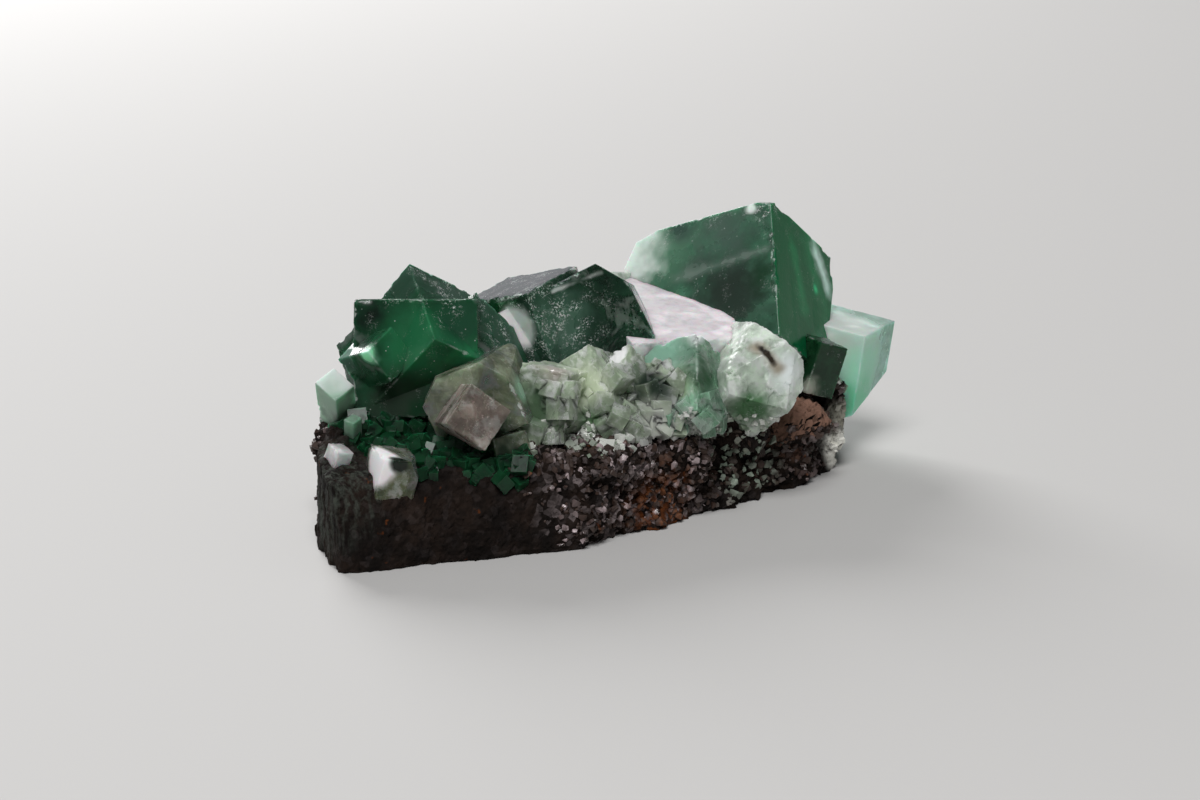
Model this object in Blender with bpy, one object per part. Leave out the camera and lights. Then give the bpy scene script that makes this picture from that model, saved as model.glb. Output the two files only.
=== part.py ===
"""Fluorite cluster on its matrix rock, about 55 mm long.

Long side along X, front towards -Y, +Z up, resting on the flat underside of
the rock at z = 0. Design values are in millimetres and degrees; the mesh is
in metres. Each crystal is a cube or block with small bevelled edges, or two
to four of them grown into one body. The rock has a socket for each crystal,
and neighbouring crystals keep a narrow gap.
"""
import math

import bmesh
import bpy
from mathutils import Euler, Matrix, Vector, noise

MM = 0.001
NAME = "fluorite_cluster"

# driving dimensions, mm
GAP = 0.3                  # clearance between two neighbouring pieces
EDGE_BEVEL = 0.14          # narrow bevel on the crystal edges
STEP_RISE = 0.22           # height of one growth step on a crystal face
ROCK_LEFT = -23.5          # left end of the rock at its front corner
ROCK_RIGHT = 25.0          # right end of the rock
ROCK_CELLS = (36, 15, 7)   # lattice of the rock along X, Y and Z
ROCK_GRAIN = 0.80          # height of the coarse grain on the rock
ROCK_FOOT = 0.5            # flat band that the underside is cut back by

# outline of the rock along X: x, front y, back y, front top z, back top z
ROCK_STATIONS = [
    (-23.5, -9.6, 3.6, 7.6, 9.0),
    (-18.0, -11.0, 6.6, 6.4, 9.6),
    (-12.0, -12.8, 7.8, 7.0, 9.2),
    (-6.0, -14.2, 8.4, 7.8, 9.8),
    (0.0, -13.6, 8.8, 7.4, 10.0),
    (6.0, -12.4, 9.0, 6.6, 9.8),
    (12.0, -11.6, 8.8, 5.6, 8.6),
    (18.0, -11.0, 7.6, 5.4, 7.8),
    (25.0, -8.6, 3.5, 4.2, 5.6),
]

# plan of the cleaved left end: y, x
LEFT_END = [(-10.0, -23.5), (-6.0, -22.6), (-2.5, -21.4), (1.0, -19.0), (4.0, -16.6), (7.0, -13.5)]

pieces = bpy.data.collections.new(NAME)
cutters = bpy.data.collections.new(NAME + "_cutters")


def clear_scene():
    """Start from an empty file."""
    for obj in list(bpy.data.objects):
        bpy.data.objects.remove(obj, do_unlink=True)
    bpy.context.scene.collection.children.link(pieces)
    bpy.context.scene.collection.children.link(cutters)
    cutters.hide_render = True


def make_material(name, colour, roughness, transmission):
    """A Principled material with its own colour, roughness and clearness."""
    material = bpy.data.materials.new(name)
    material.use_nodes = True
    shader = material.node_tree.nodes["Principled BSDF"]
    shader.inputs["Base Color"].default_value = (*colour, 1.0)
    shader.inputs["Roughness"].default_value = roughness
    shader.inputs["Transmission Weight"].default_value = transmission
    shader.inputs["IOR"].default_value = 1.434
    material.diffuse_color = (*colour, 1.0)
    return material


def to_object(name, mesh_data, collection):
    """Write a bmesh into a new object."""
    mesh = bpy.data.meshes.new(name)
    mesh_data.to_mesh(mesh)
    mesh_data.free()
    obj = bpy.data.objects.new(name, mesh)
    collection.objects.link(obj)
    return obj


def placement(centre, turn):
    """Rotation and place from millimetres and degrees."""
    angles = Euler([math.radians(a) for a in turn], "XYZ")
    return Matrix.Translation(Vector(centre) * MM) @ angles.to_matrix().to_4x4()


def cube_mesh(size, bevel=0.0):
    """A block of the given size, its edges bevelled."""
    bm = bmesh.new()
    bmesh.ops.create_cube(bm, size=1.0)
    bmesh.ops.scale(bm, vec=Vector(size) * MM, verts=bm.verts)
    if bevel > 0.0:
        bmesh.ops.bevel(
            bm, geom=list(bm.edges), offset=bevel * MM, offset_type="OFFSET",
            segments=1, profile=0.5, affect="EDGES", clamp_overlap=True)
    return bm


def boolean(target, tool, operation):
    """Apply one exact Boolean and drop the tool object."""
    modifier = target.modifiers.new("boolean", "BOOLEAN")
    modifier.operation = operation
    modifier.solver = "EXACT"
    modifier.object = tool
    evaluated = target.evaluated_get(bpy.context.evaluated_depsgraph_get())
    mesh = bpy.data.meshes.new_from_object(evaluated)
    old = target.data
    target.modifiers.clear()
    target.data = mesh
    bpy.data.meshes.remove(old)
    bpy.data.objects.remove(tool, do_unlink=True)


def keep_main_body(obj):
    """Weld the mesh, keep its largest closed body and recount its normals."""
    bm = bmesh.new()
    bm.from_mesh(obj.data)
    bmesh.ops.remove_doubles(bm, verts=bm.verts, dist=0.000002)
    bmesh.ops.dissolve_limit(
        bm, angle_limit=math.radians(0.4), verts=bm.verts, edges=bm.edges)
    bmesh.ops.triangulate(bm, faces=bm.faces)
    todo = set(bm.faces)
    bodies = []
    while todo:
        seed = todo.pop()
        body = {seed}
        front = [seed]
        while front:
            face = front.pop()
            for edge in face.edges:
                for other in edge.link_faces:
                    if other in todo:
                        todo.discard(other)
                        body.add(other)
                        front.append(other)
        bodies.append(body)
    bodies.sort(key=lambda b: sum(f.calc_area() for f in b), reverse=True)
    spare = [face for body in bodies[1:] for face in body]
    bmesh.ops.delete(bm, geom=spare, context="FACES")
    loose = [v for v in bm.verts if not v.link_faces]
    bmesh.ops.delete(bm, geom=loose, context="VERTS")
    bmesh.ops.recalc_face_normals(bm, faces=bm.faces)
    bm.to_mesh(obj.data)
    bm.free()


class Block:
    """One block of a crystal: centre, turn and size, in mm and degrees."""

    def __init__(self, centre, turn, size):
        self.centre = Vector(centre)
        self.turn = turn
        self.size = Vector(size)
        self.steps = []
        self.chips = []

    def step(self, axis, side, inset, shift=(0.0, 0.0), rise=STEP_RISE):
        """Add a growth step: a thin raised plate on one face."""
        self.steps.append((axis, side, inset, shift, rise))
        return self

    def chip(self, point, normal):
        """Cut off a corner by a plane, given in the block's own axes."""
        self.chips.append((Vector(point), Vector(normal)))
        return self

    def plate(self, axis, side, inset, shift, rise):
        """Centre and size of one growth step in the block's own axes."""
        size = self.size.copy()
        centre = Vector((0.0, 0.0, 0.0))
        others = [a for a in range(3) if a != axis]
        for a, offset in zip(others, shift):
            size[a] -= 2.0 * inset
            centre[a] = offset
        size[axis] = 2.0
        centre[axis] = side * (self.size[axis] / 2.0 - 1.0 + rise)
        return centre, size

    def build(self, name):
        """The block with its chips and growth steps as one object."""
        bm = cube_mesh(self.size, EDGE_BEVEL)
        for point, normal in self.chips:
            geom = list(bm.verts) + list(bm.edges) + list(bm.faces)
            cut = bmesh.ops.bisect_plane(
                bm, geom=geom, plane_co=point * MM, plane_no=normal.normalized(),
                clear_outer=True)
            rim = [e for e in cut["geom_cut"] if isinstance(e, bmesh.types.BMEdge)]
            bmesh.ops.contextual_create(bm, geom=rim)
        bmesh.ops.transform(bm, matrix=placement(self.centre, self.turn), verts=bm.verts)
        body = to_object(name, bm, pieces)
        for number, spec in enumerate(self.steps):
            centre, size = self.plate(*spec)
            bm = cube_mesh(size, EDGE_BEVEL * 0.6)
            local = Matrix.Translation(centre * MM)
            bmesh.ops.transform(
                bm, matrix=placement(self.centre, self.turn) @ local, verts=bm.verts)
            boolean(body, to_object(f"{name}_step_{number}", bm, cutters), "UNION")
        return body

    def socket(self, name):
        """A plain box, larger than the block by the gap on every side."""
        grow = 2.0 * GAP
        lift = 0.0
        if self.steps:
            lift = max(spec[4] for spec in self.steps)
        size = self.size + Vector((grow, grow, grow)) + Vector((lift, lift, lift)) * 2.0
        bm = cube_mesh(size)
        bmesh.ops.transform(bm, matrix=placement(self.centre, self.turn), verts=bm.verts)
        tool = to_object(name, bm, cutters)
        tool.display_type = "WIRE"
        return tool


def twin_turn(turn, axis=(1.0, 1.0, 1.0), angle=60.0):
    """Turn of the second cube of a penetration twin: 60 degrees on a body diagonal."""
    first = Euler([math.radians(a) for a in turn], "XYZ").to_matrix()
    spin = Matrix.Rotation(math.radians(angle), 3, Vector(axis).normalized())
    return [math.degrees(a) for a in (first @ spin).to_euler("XYZ")]


# crystals, front and left first; a later crystal gives way to the ones before it

def emerald_twin_blocks():
    """The large emerald penetration twin at the left with its side cubes."""
    facing = Block((-9.9, 1.5, 11.7), (-105, 0, -35), (9.2, 8.8, 9.0))
    facing.step(0, 1, 1.3, (0.3, 0.5))
    tilted = Block((-10.1, 1.0, 11.9), (-134, 48, 126), (9.2, 7.0, 8.6))
    right = Block((-5.5, 0.3, 11.2), (-42, 44, -6), (7.2, 5.0, 6.0))
    corner = Block((-14.9, -0.6, 12.9), (158, -28, 17), (3.0, 4.0, 3.0))
    return [facing, tilted, right, corner]


def pale_left_blocks():
    """The pale frosted cube at the left end."""
    return [Block((-17.4, 1.0, 9.2), (-31, 27, -178), (1.9, 2.3, 6.0))]


def low_white_blocks():
    """The small white-topped cube low at the left."""
    cube = Block((-18.3, -7.8, 5.8), (95, 14, -12), (3.0, 4.2, 3.4))
    cube.chip((1.1, 1.7, 1.2), (1.0, 0.7, 0.5))
    return [cube]


def front_clear_blocks():
    """The clear cube at the front left with the dusty cube before it."""
    dusty = Block((-11.7, -8.6, 9.7), (72, 36, -31), (3.6, 3.5, 4.5))
    clear = Block((-9.2, -5.8, 10.1), (88, -24, -46), (7.0, 5.6, 5.0))
    clear.chip((-3.0, 2.3, 0.0), (-0.7, 0.8, 0.2))
    clear.chip((3.0, 2.2, 0.0), (0.8, 0.7, 0.2))
    small = Block((-9.3, -9.2, 7.0), (79, -5, -2), (3.0, 2.4, 2.8))
    return [dusty, clear, small]


def front_row_blocks():
    """The row of pale green cubes along the front edge."""
    first = Block((-4.7, -8.4, 9.9), (79, 8, -58), (3.8, 5.0, 4.5))
    second = Block((-0.7, -9.0, 9.7), (-62, 34, 128), (3.2, 6.5, 3.5))
    second.step(2, -1, 0.7, (0.2, 0.3))
    third = Block((1.7, -9.1, 10.5), (-40, 30, 111), (3.4, 3.2, 3.6))
    fourth = Block((4.0, -9.6, 9.4), (44, -23, 1), (3.0, 3.0, 3.0))
    low_right = Block((3.2, -11.6, 8.0), (60, 19, -19), (1.8, 1.8, 1.8))
    low_middle = Block((1.6, -11.4, 7.9), (92, -9, 0), (1.9, 1.9, 1.9))
    low_left = Block((0.4, -11.4, 7.7), (106, -52, -48), (1.5, 1.5, 1.5))
    return [first, second, third, fourth, low_right, low_middle, low_left]


def green_blade_blocks():
    """The green bladed crystal right of the middle."""
    blade = Block((6.0, -10.1, 9.4), (-49, 22, 121), (5.2, 6.8, 3.5))
    blade.step(0, 1, 0.8, (0.4, 0.3))
    side = Block((6.6, -11.8, 7.2), (100, -15, -57), (1.8, 2.4, 1.8))
    return [blade, side]


def broken_blocks():
    """The broken frosted crystal that leans out over the front."""
    lump = Block((12.1, -10.9, 9.4), (73, 44, -28), (5.9, 6.7, 7.0))
    lump.chip((2.7, 2.4, 0.0), (0.74, 0.67, 0.1))
    lump.chip((-2.7, -2.4, 0.0), (-0.74, -0.67, 0.15))
    lump.chip((0.9, -1.9, 2.9), (0.35, -0.7, 0.6))
    lump.chip((-2.1, 1.2, 2.9), (-0.75, 0.3, 0.6))
    lump.chip((1.6, 1.8, 3.2), (0.5, 0.3, 0.8))
    return [lump]


def middle_dark_blocks():
    """The dark green cube in the middle and the dusty cube behind it."""
    green = Block((3.4, -0.6, 12.6), (73, -27, -32), (10.2, 7.4, 6.5))
    green.chip((3.5, 3.7, 0.0), (0.83, 0.55, 0.0))
    dusty = Block((0.9, 1.5, 13.0), (-168, -16, -80), (9.6, 6.0, 6.5))
    return [green, dusty]


def saddle_blocks():
    """The pale smooth crystal between the middle and the large back cube."""
    return [Block((10.6, -0.8, 10.2), (8, 2, -15), (10.0, 15.0, 6.8))]


def large_back_blocks():
    """The large green cube at the back right, the highest crystal."""
    cube = Block((18.9, 0.5, 11.4), (-54, 19, 124), (13.2, 12.0, 11.5))
    cube.step(1, -1, 0.9, (0.4, -0.4), 0.4)
    cube.step(0, -1, 1.6, (-0.5, 0.6))
    cube.step(2, -1, 1.8, (0.5, 0.8))
    return [cube]


def right_aqua_blocks():
    """The aqua cube at the right end."""
    cube = Block((26.8, -2.5, 7.0), (-89, -8, 118), (7.5, 7.5, 6.3))
    cube.chip((-1.9, 3.4, 1.6), (-0.5, 0.9, -0.35))
    cube.step(1, -1, 0.9, (0.3, 0.4))
    return [cube]


def right_dark_blocks():
    """The small dark cube below the large back cube."""
    return [Block((21.0, -7.9, 8.6), (93, 18, -8), (2.6, 4.2, 3.2))]


def small_white_blocks():
    """The small white crystal on the left end, below the pale cube."""
    return [Block((-21.0, -5.0, 7.2), (108, 10, 4), (1.4, 1.9, 1.6))]


def back_left_blocks():
    """A green cube on the back, behind the emerald twin."""
    first = Block((-5.6, 7.4, 8.6), (24, 18, 30), (4.6, 4.6, 4.6))
    return [first, Block((-5.6, 7.4, 8.6), twin_turn(first.turn), (4.0, 4.0, 4.0))]


def back_right_blocks():
    """A pale green cube on the back, right of the middle."""
    first = Block((10.0, 6.4, 11.0), (-14, 12, 20), (6.6, 6.0, 7.0))
    first.step(1, 1, 0.8, (0.3, 0.4))
    return [first]


# name, blocks, colour, roughness, transmission
CRYSTALS = [
    ("left_emerald_twin", emerald_twin_blocks, (0.02, 0.30, 0.12), 0.12, 0.75),
    ("large_back_cube", large_back_blocks, (0.05, 0.32, 0.17), 0.15, 0.70),
    ("right_aqua_cube", right_aqua_blocks, (0.33, 0.60, 0.48), 0.22, 0.60),
    ("middle_dark_cube", middle_dark_blocks, (0.06, 0.20, 0.12), 0.20, 0.55),
    ("low_white_cube", low_white_blocks, (0.66, 0.68, 0.60), 0.35, 0.30),
    ("left_pale_cube", pale_left_blocks, (0.55, 0.70, 0.62), 0.35, 0.35),
    ("broken_frosted_crystal", broken_blocks, (0.52, 0.66, 0.58), 0.40, 0.35),
    ("front_green_blades", green_blade_blocks, (0.30, 0.52, 0.38), 0.28, 0.45),
    ("front_crystal_row", front_row_blocks, (0.50, 0.62, 0.48), 0.28, 0.45),
    ("front_clear_cube", front_clear_blocks, (0.45, 0.48, 0.42), 0.22, 0.50),
    ("right_dark_cube", right_dark_blocks, (0.08, 0.16, 0.11), 0.25, 0.45),
    ("pale_saddle_crystal", saddle_blocks, (0.70, 0.66, 0.66), 0.45, 0.15),
    ("small_white_crystal", small_white_blocks, (0.70, 0.72, 0.68), 0.40, 0.25),
    ("back_left_twin", back_left_blocks, (0.08, 0.34, 0.18), 0.20, 0.60),
    ("back_right_cube", back_right_blocks, (0.25, 0.48, 0.34), 0.25, 0.50),
]


def rock_profile(x):
    """Front y, back y, front top and back top of the rock at one x."""
    x = min(max(x, ROCK_STATIONS[0][0]), ROCK_STATIONS[-1][0])
    for low, high in zip(ROCK_STATIONS, ROCK_STATIONS[1:]):
        if x <= high[0]:
            t = (x - low[0]) / (high[0] - low[0])
            t = t * t * (3.0 - 2.0 * t)
            return [low[i] + (high[i] - low[i]) * t for i in range(1, 5)]
    return list(ROCK_STATIONS[-1][1:])


def left_end(y):
    """The x of the cleaved left end at one y."""
    for low, high in zip(LEFT_END, LEFT_END[1:]):
        if y <= high[0]:
            t = max(0.0, (y - low[0]) / (high[0] - low[0]))
            return low[1] + (high[1] - low[1]) * t
    return LEFT_END[-1][1]


def rock_point(s, t, h):
    """A point of the plain rock form, from three shares between 0 and 1."""
    x = ROCK_LEFT + (ROCK_RIGHT - ROCK_LEFT) * s
    front, back, low_top, high_top = rock_profile(x)
    y = front + (back - front) * t
    # the left end slants back, the right end is rounded in plan
    x += (left_end(y) - ROCK_LEFT) * (1.0 - s) ** 2
    x -= s ** 4 * 3.0 * (2.0 * t - 1.0) ** 2
    # the front and the back lean in towards the top
    y += h * h * (1.6 * (1.0 - t) - 1.8 * t)
    top = low_top + (high_top - low_top) * min(1.0, t * 1.6)
    z = top * h
    # rounded upper rim
    rim = max(0.0, 1.0 - 6.0 * min(t, 1.0 - t, s, 1.0 - s))
    z -= h * h * rim * rim * 0.9
    return Vector((x, y, z))


def grain(point, seed):
    """Coarse broken grain: angular lumps on a slow swell."""
    p = Vector((point.x, point.y, point.z)) + Vector((seed, seed * 0.7, -seed))
    lumps = noise.voronoi(p * 0.55)[0][0]
    swell = noise.noise(p * 0.22)
    fine = noise.noise(p * 0.9)
    return 1.1 * (0.45 - lumps) + 0.9 * swell + 0.55 * fine


def build_rock():
    """The matrix rock as one closed body with a flat underside."""
    nx, ny, nz = ROCK_CELLS
    bm = bmesh.new()
    grid = {}

    def vertex(i, j, k):
        key = (i, j, k)
        if key not in grid:
            p = rock_point(i / nx, j / ny, k / nz)
            grid[key] = bm.verts.new(p)
        return grid[key]

    for i in range(nx):
        for j in range(ny):
            bm.faces.new([vertex(i, j, nz), vertex(i + 1, j, nz),
                          vertex(i + 1, j + 1, nz), vertex(i, j + 1, nz)])
            bm.faces.new([vertex(i, j, 0), vertex(i, j + 1, 0),
                          vertex(i + 1, j + 1, 0), vertex(i + 1, j, 0)])
    for i in range(nx):
        for k in range(nz):
            bm.faces.new([vertex(i, 0, k), vertex(i + 1, 0, k),
                          vertex(i + 1, 0, k + 1), vertex(i, 0, k + 1)])
            bm.faces.new([vertex(i, ny, k), vertex(i, ny, k + 1),
                          vertex(i + 1, ny, k + 1), vertex(i + 1, ny, k)])
    for j in range(ny):
        for k in range(nz):
            bm.faces.new([vertex(0, j, k), vertex(0, j, k + 1),
                          vertex(0, j + 1, k + 1), vertex(0, j + 1, k)])
            bm.faces.new([vertex(nx, j, k), vertex(nx, j + 1, k),
                          vertex(nx, j + 1, k + 1), vertex(nx, j, k + 1)])
    bmesh.ops.recalc_face_normals(bm, faces=bm.faces)
    bm.normal_update()
    moves = []
    for v in bm.verts:
        # the left third of the front is smoother than the rest
        smooth = 0.45 if v.co.x < -7.0 and v.co.y < -5.0 else 1.0
        # the cleaved left end is nearly flat
        if v.co.x < -19.0:
            smooth *= 0.35
        # the lattice is finer at the right end, so the grain is lower there
        if v.co.x > 19.0:
            smooth *= 0.55
        moves.append((v, v.normal * grain(v.co, 3.1) * ROCK_GRAIN * smooth))
    for v, move in moves:
        v.co += move
    bmesh.ops.scale(bm, vec=(MM, MM, MM), verts=bm.verts)
    # a flat underside: everything below the foot band is cut away
    geom = list(bm.verts) + list(bm.edges) + list(bm.faces)
    cut = bmesh.ops.bisect_plane(
        bm, geom=geom, plane_co=(0.0, 0.0, ROCK_FOOT * MM), plane_no=(0.0, 0.0, -1.0),
        clear_outer=True)
    rim = [e for e in cut["geom_cut"] if isinstance(e, bmesh.types.BMEdge)]
    bmesh.ops.edgenet_fill(bm, edges=rim)
    bmesh.ops.translate(bm, vec=(0.0, 0.0, -ROCK_FOOT * MM), verts=bm.verts)
    rock = to_object("matrix_rock", bm, pieces)
    for number, (centre, radii, turn) in enumerate(rock_lumps()):
        lump = rock_lump(f"rock_lump_{number}", centre, radii, turn, 1.7 * number)
        boolean(rock, lump, "UNION")
        keep_main_body(rock)
    return rock


def rock_lump(name, centre, radii, turn, seed):
    """One rounded, broken lump of rock."""
    bm = bmesh.new()
    bmesh.ops.create_icosphere(bm, subdivisions=3, radius=1.0)
    for v in bm.verts:
        # push the ball towards a block, then break its surface
        p = v.co.copy()
        edge = max(abs(p.x), abs(p.y), abs(p.z))
        p *= 0.72 + 0.28 / edge
        p *= 1.0 + 0.16 * noise.noise(p * 1.7 + Vector((seed, 0.0, -seed)))
        p *= 1.0 - 0.14 * noise.voronoi(p * 2.1 + Vector((0.0, seed, 0.0)))[0][0]
        v.co = Vector((p.x * radii[0], p.y * radii[1], p.z * radii[2])) * MM
    bmesh.ops.transform(bm, matrix=placement(centre, turn), verts=bm.verts)
    return to_object(name, bm, pieces)


def rock_lumps():
    """Ledges and lumps that stand out of the rock: centre, radii, turn."""
    return [
        ((17.2, -8.2, 4.6), (4.6, 3.0, 1.3), (8, -9, -14)),
        ((23.6, -6.4, 4.2), (1.1, 1.3, 3.2), (4, 8, 20)),
        ((22.6, -7.4, 2.2), (1.5, 1.3, 1.7), (10, 12, 30)),
        ((24.0, -1.6, 4.2), (3.6, 4.4, 3.6), (0, 10, 10)),
        ((-1.8, -12.4, 5.6), (4.2, 2.0, 2.0), (12, 5, 8)),
        ((4.6, -11.6, 4.6), (3.0, 1.8, 2.4), (-6, 8, -10)),
        ((-15.8, 1.4, 6.6), (2.1, 2.8, 3.0), (6, 10, 24)),
        ((12.4, 7.2, 5.0), (4.6, 2.6, 3.2), (-8, 8, 15)),
        ((-7.0, 7.2, 4.6), (5.0, 2.4, 3.0), (6, -6, -8)),
        ((10.8, -9.4, 6.2), (3.4, 2.8, 2.6), (8, 6, -12)),
    ]


def build_crystal(name, blocks):
    """Join the blocks of one crystal into one body."""
    body = blocks[0].build(name)
    for number, block in enumerate(blocks[1:]):
        boolean(body, block.build(f"{name}_{number}"), "UNION")
    return body


def cut_sockets(target, blocks):
    """Cut room for other crystals into one piece."""
    for number, block in enumerate(blocks):
        boolean(target, block.socket(f"socket_{number}"), "DIFFERENCE")
        keep_main_body(target)


def centre_on_origin(objects):
    """Put the middle of the whole part over the origin, the underside at z = 0."""
    low = Vector((1.0, 1.0, 1.0))
    high = Vector((-1.0, -1.0, -1.0))
    for obj in objects:
        for v in obj.data.vertices:
            for a in range(3):
                low[a] = min(low[a], v.co[a])
                high[a] = max(high[a], v.co[a])
    shift = Vector((-(low.x + high.x) / 2.0, -(low.y + high.y) / 2.0, -low.z))
    for obj in objects:
        obj.data.transform(Matrix.Translation(shift))
    return shift


def main():
    clear_scene()
    rock = build_rock()
    done = []
    objects = [rock]
    for name, blocks_of, colour, roughness, transmission in CRYSTALS:
        blocks = blocks_of()
        body = build_crystal(name, blocks)
        keep_main_body(body)
        cut_sockets(body, done)
        body.data.materials.clear()
        body.data.materials.append(make_material(name, colour, roughness, transmission))
        objects.append(body)
        done.extend(blocks)
    cut_sockets(rock, done)
    rock.data.materials.clear()
    rock.data.materials.append(make_material("matrix_rock", (0.17, 0.14, 0.12), 0.9, 0.0))
    centre_on_origin(objects)


main()
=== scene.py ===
"""Fluorite cluster with its full surface detail and materials.

The forms repeat the design values of the solids, in millimetres and degrees,
but for what the comment above PLAN names. SHIFT moves them to the frame of the
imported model, and MM turns them into metres. Every crystal and the rock is
rebuilt as a dense closed mesh.
"""

import itertools
import math
import random

import bmesh
import bpy
import numpy as np
from mathutils import Euler, Matrix, Vector, noise


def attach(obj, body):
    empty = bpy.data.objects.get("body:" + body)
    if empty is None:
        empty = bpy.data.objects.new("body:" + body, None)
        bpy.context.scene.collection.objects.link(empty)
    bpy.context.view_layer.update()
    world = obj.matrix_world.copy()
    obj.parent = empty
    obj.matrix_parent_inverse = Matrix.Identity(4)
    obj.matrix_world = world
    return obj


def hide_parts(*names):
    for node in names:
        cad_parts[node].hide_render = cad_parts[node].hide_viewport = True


MM = 0.001
SHIFT = Vector((-4.054, 1.940, 0.0))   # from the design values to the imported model
CELL = 0.24                            # longest mesh edge on a crystal
EDGE_BEVEL = 0.09
BEVEL_SHARE = 0.35                     # share of the bevel that an edge point moves in
EDGE_STOPS = (0.09, 0.22, 0.38)        # mesh lines beside an edge, where it wears
WELD = 0.002
ROCK_VOXEL = 0.26
STEP_MARGIN = 0.35                     # width beside an edge where growth steps fade
ON_FACE = 0.01                         # how far from a face a point still lies on it
NEAR_EDGE = 0.12                       # how far from a face a point may be and still wear
CREASE = 24.0                          # degrees, sharper edges stay sharp
IOR = 1.434
SCATTER = 0.0012                       # metres that light wanders in milky fluorite

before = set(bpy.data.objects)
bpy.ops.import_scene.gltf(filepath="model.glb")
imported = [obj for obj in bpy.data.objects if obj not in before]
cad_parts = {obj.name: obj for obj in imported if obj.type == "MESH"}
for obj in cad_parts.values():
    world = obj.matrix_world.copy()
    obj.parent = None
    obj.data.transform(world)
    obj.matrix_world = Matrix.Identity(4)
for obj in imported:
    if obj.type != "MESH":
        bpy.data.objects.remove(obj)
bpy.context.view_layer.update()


# noise on whole arrays of points

def hashed(cells, seed):
    """A number from 0 to 1 for each whole-numbered cell."""
    n = (cells[:, 0] * 73856093) ^ (cells[:, 1] * 19349663) ^ (cells[:, 2] * 83492791)
    n = n ^ (seed * 668265263)
    n = (n ^ (n >> 13)) * 1274126177
    n = (n ^ (n >> 15)) * 40503
    return ((n ^ (n >> 16)) & 0xFFFFFF) / float(0x1000000)


def value_noise(points, scale, seed):
    """Smooth noise from -1 to 1."""
    p = points * scale
    base = np.floor(p).astype(np.int64)
    f = p - base
    f = f * f * (3.0 - 2.0 * f)
    total = np.zeros(len(p))
    for corner in itertools.product((0, 1), repeat=3):
        weight = np.ones(len(p))
        for axis in range(3):
            weight = weight * (f[:, axis] if corner[axis] else 1.0 - f[:, axis])
        total += weight * hashed(base + np.array(corner), seed)
    return total * 2.0 - 1.0


def facets(points, scale, seed):
    """Faceted grains: each cell has its own level and its own slope."""
    p = points * scale
    base = np.floor(p).astype(np.int64)
    first = np.full(len(p), 9.0)
    height = np.zeros(len(p))
    for corner in itertools.product((-1, 0, 1), repeat=3):
        cell = base + np.array(corner)
        spot = cell + np.stack([hashed(cell, seed + i) for i in range(3)], axis=1)
        delta = p - spot
        d = np.linalg.norm(delta, axis=1)
        slope = np.stack([hashed(cell, seed + 3 + i) - 0.5 for i in range(3)], axis=1)
        level = hashed(cell, seed + 6) - 0.5 + 1.6 * np.sum(delta * slope, axis=1)
        height = np.where(d < first, level, height)
        first = np.minimum(first, d)
    return height


# blocks

AROUND = ((0, 0), (1, 0), (1, 1), (0, 1))


class Block:
    """One block of a crystal: centre, turn and size, with planes that cut corners off."""

    def __init__(self, centre, turn, size, chips=()):
        self.centre = np.array(centre) + np.array(SHIFT)
        turn = Euler([math.radians(a) for a in turn], "XYZ").to_matrix()
        self.axes = np.array(turn)
        self.size = np.array(size, dtype=float)
        self.chips = chips

    def matrix(self):
        return Matrix.Translation(Vector(self.centre)) @ Matrix(self.axes.tolist()).to_4x4()

    def local(self, points):
        return (points - self.centre) @ self.axes

    def shrunk(self, amount):
        """The same block, smaller by the amount on every side."""
        other = Block((0, 0, 0), (0, 0, 0), self.size - 2.0 * amount, self.chips)
        other.centre = self.centre
        other.axes = self.axes
        return other


def stops(half, cell):
    """Grid lines across one side of a block, closer together beside its edges."""
    beside = [d for d in EDGE_STOPS if d < 0.5 * half]
    outer = (0.0, *beside[:-1])
    inner = half - beside[-1]
    count = max(2, round(2.0 * inner / cell))
    low = [d - half for d in outer]
    high = [half - d for d in reversed(outer)]
    return np.concatenate((low, np.linspace(-inner, inner, count + 1), high))


def cell_keys(axis, end, a, i, b, j, around):
    """Grid keys round one cell on a side of a box."""
    keys = []
    for di, dj in around:
        key = [0, 0, 0]
        key[axis], key[a], key[b] = end, i + di, j + dj
        keys.append(tuple(key))
    return keys


def block_mesh(block, cell):
    """A block as a closed grid of small faces with slightly blunt edges."""
    lines = [stops(side / 2.0, cell) for side in block.size]
    last = [len(line) - 1 for line in lines]
    bm = bmesh.new()
    grid = {}

    def vertex(key):
        if key not in grid:
            p = [lines[axis][key[axis]] for axis in range(3)]
            outer = [axis for axis in range(3) if key[axis] in (0, last[axis])]
            if len(outer) > 1:
                for axis in outer:
                    p[axis] -= math.copysign(EDGE_BEVEL * BEVEL_SHARE, p[axis])
            grid[key] = bm.verts.new(p)
        return grid[key]

    for axis in range(3):
        a, b = (axis + 1) % 3, (axis + 2) % 3
        for end, around in ((0, AROUND[::-1]), (last[axis], AROUND)):
            for i, j in itertools.product(range(last[a]), range(last[b])):
                bm.faces.new([vertex(key) for key in cell_keys(axis, end, a, i, b, j, around)])
    for point, normal in block.chips:
        cut_chip(bm, Vector(point), Vector(normal).normalized(), cell)
    bmesh.ops.transform(bm, matrix=block.matrix(), verts=bm.verts)
    return bm


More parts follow.
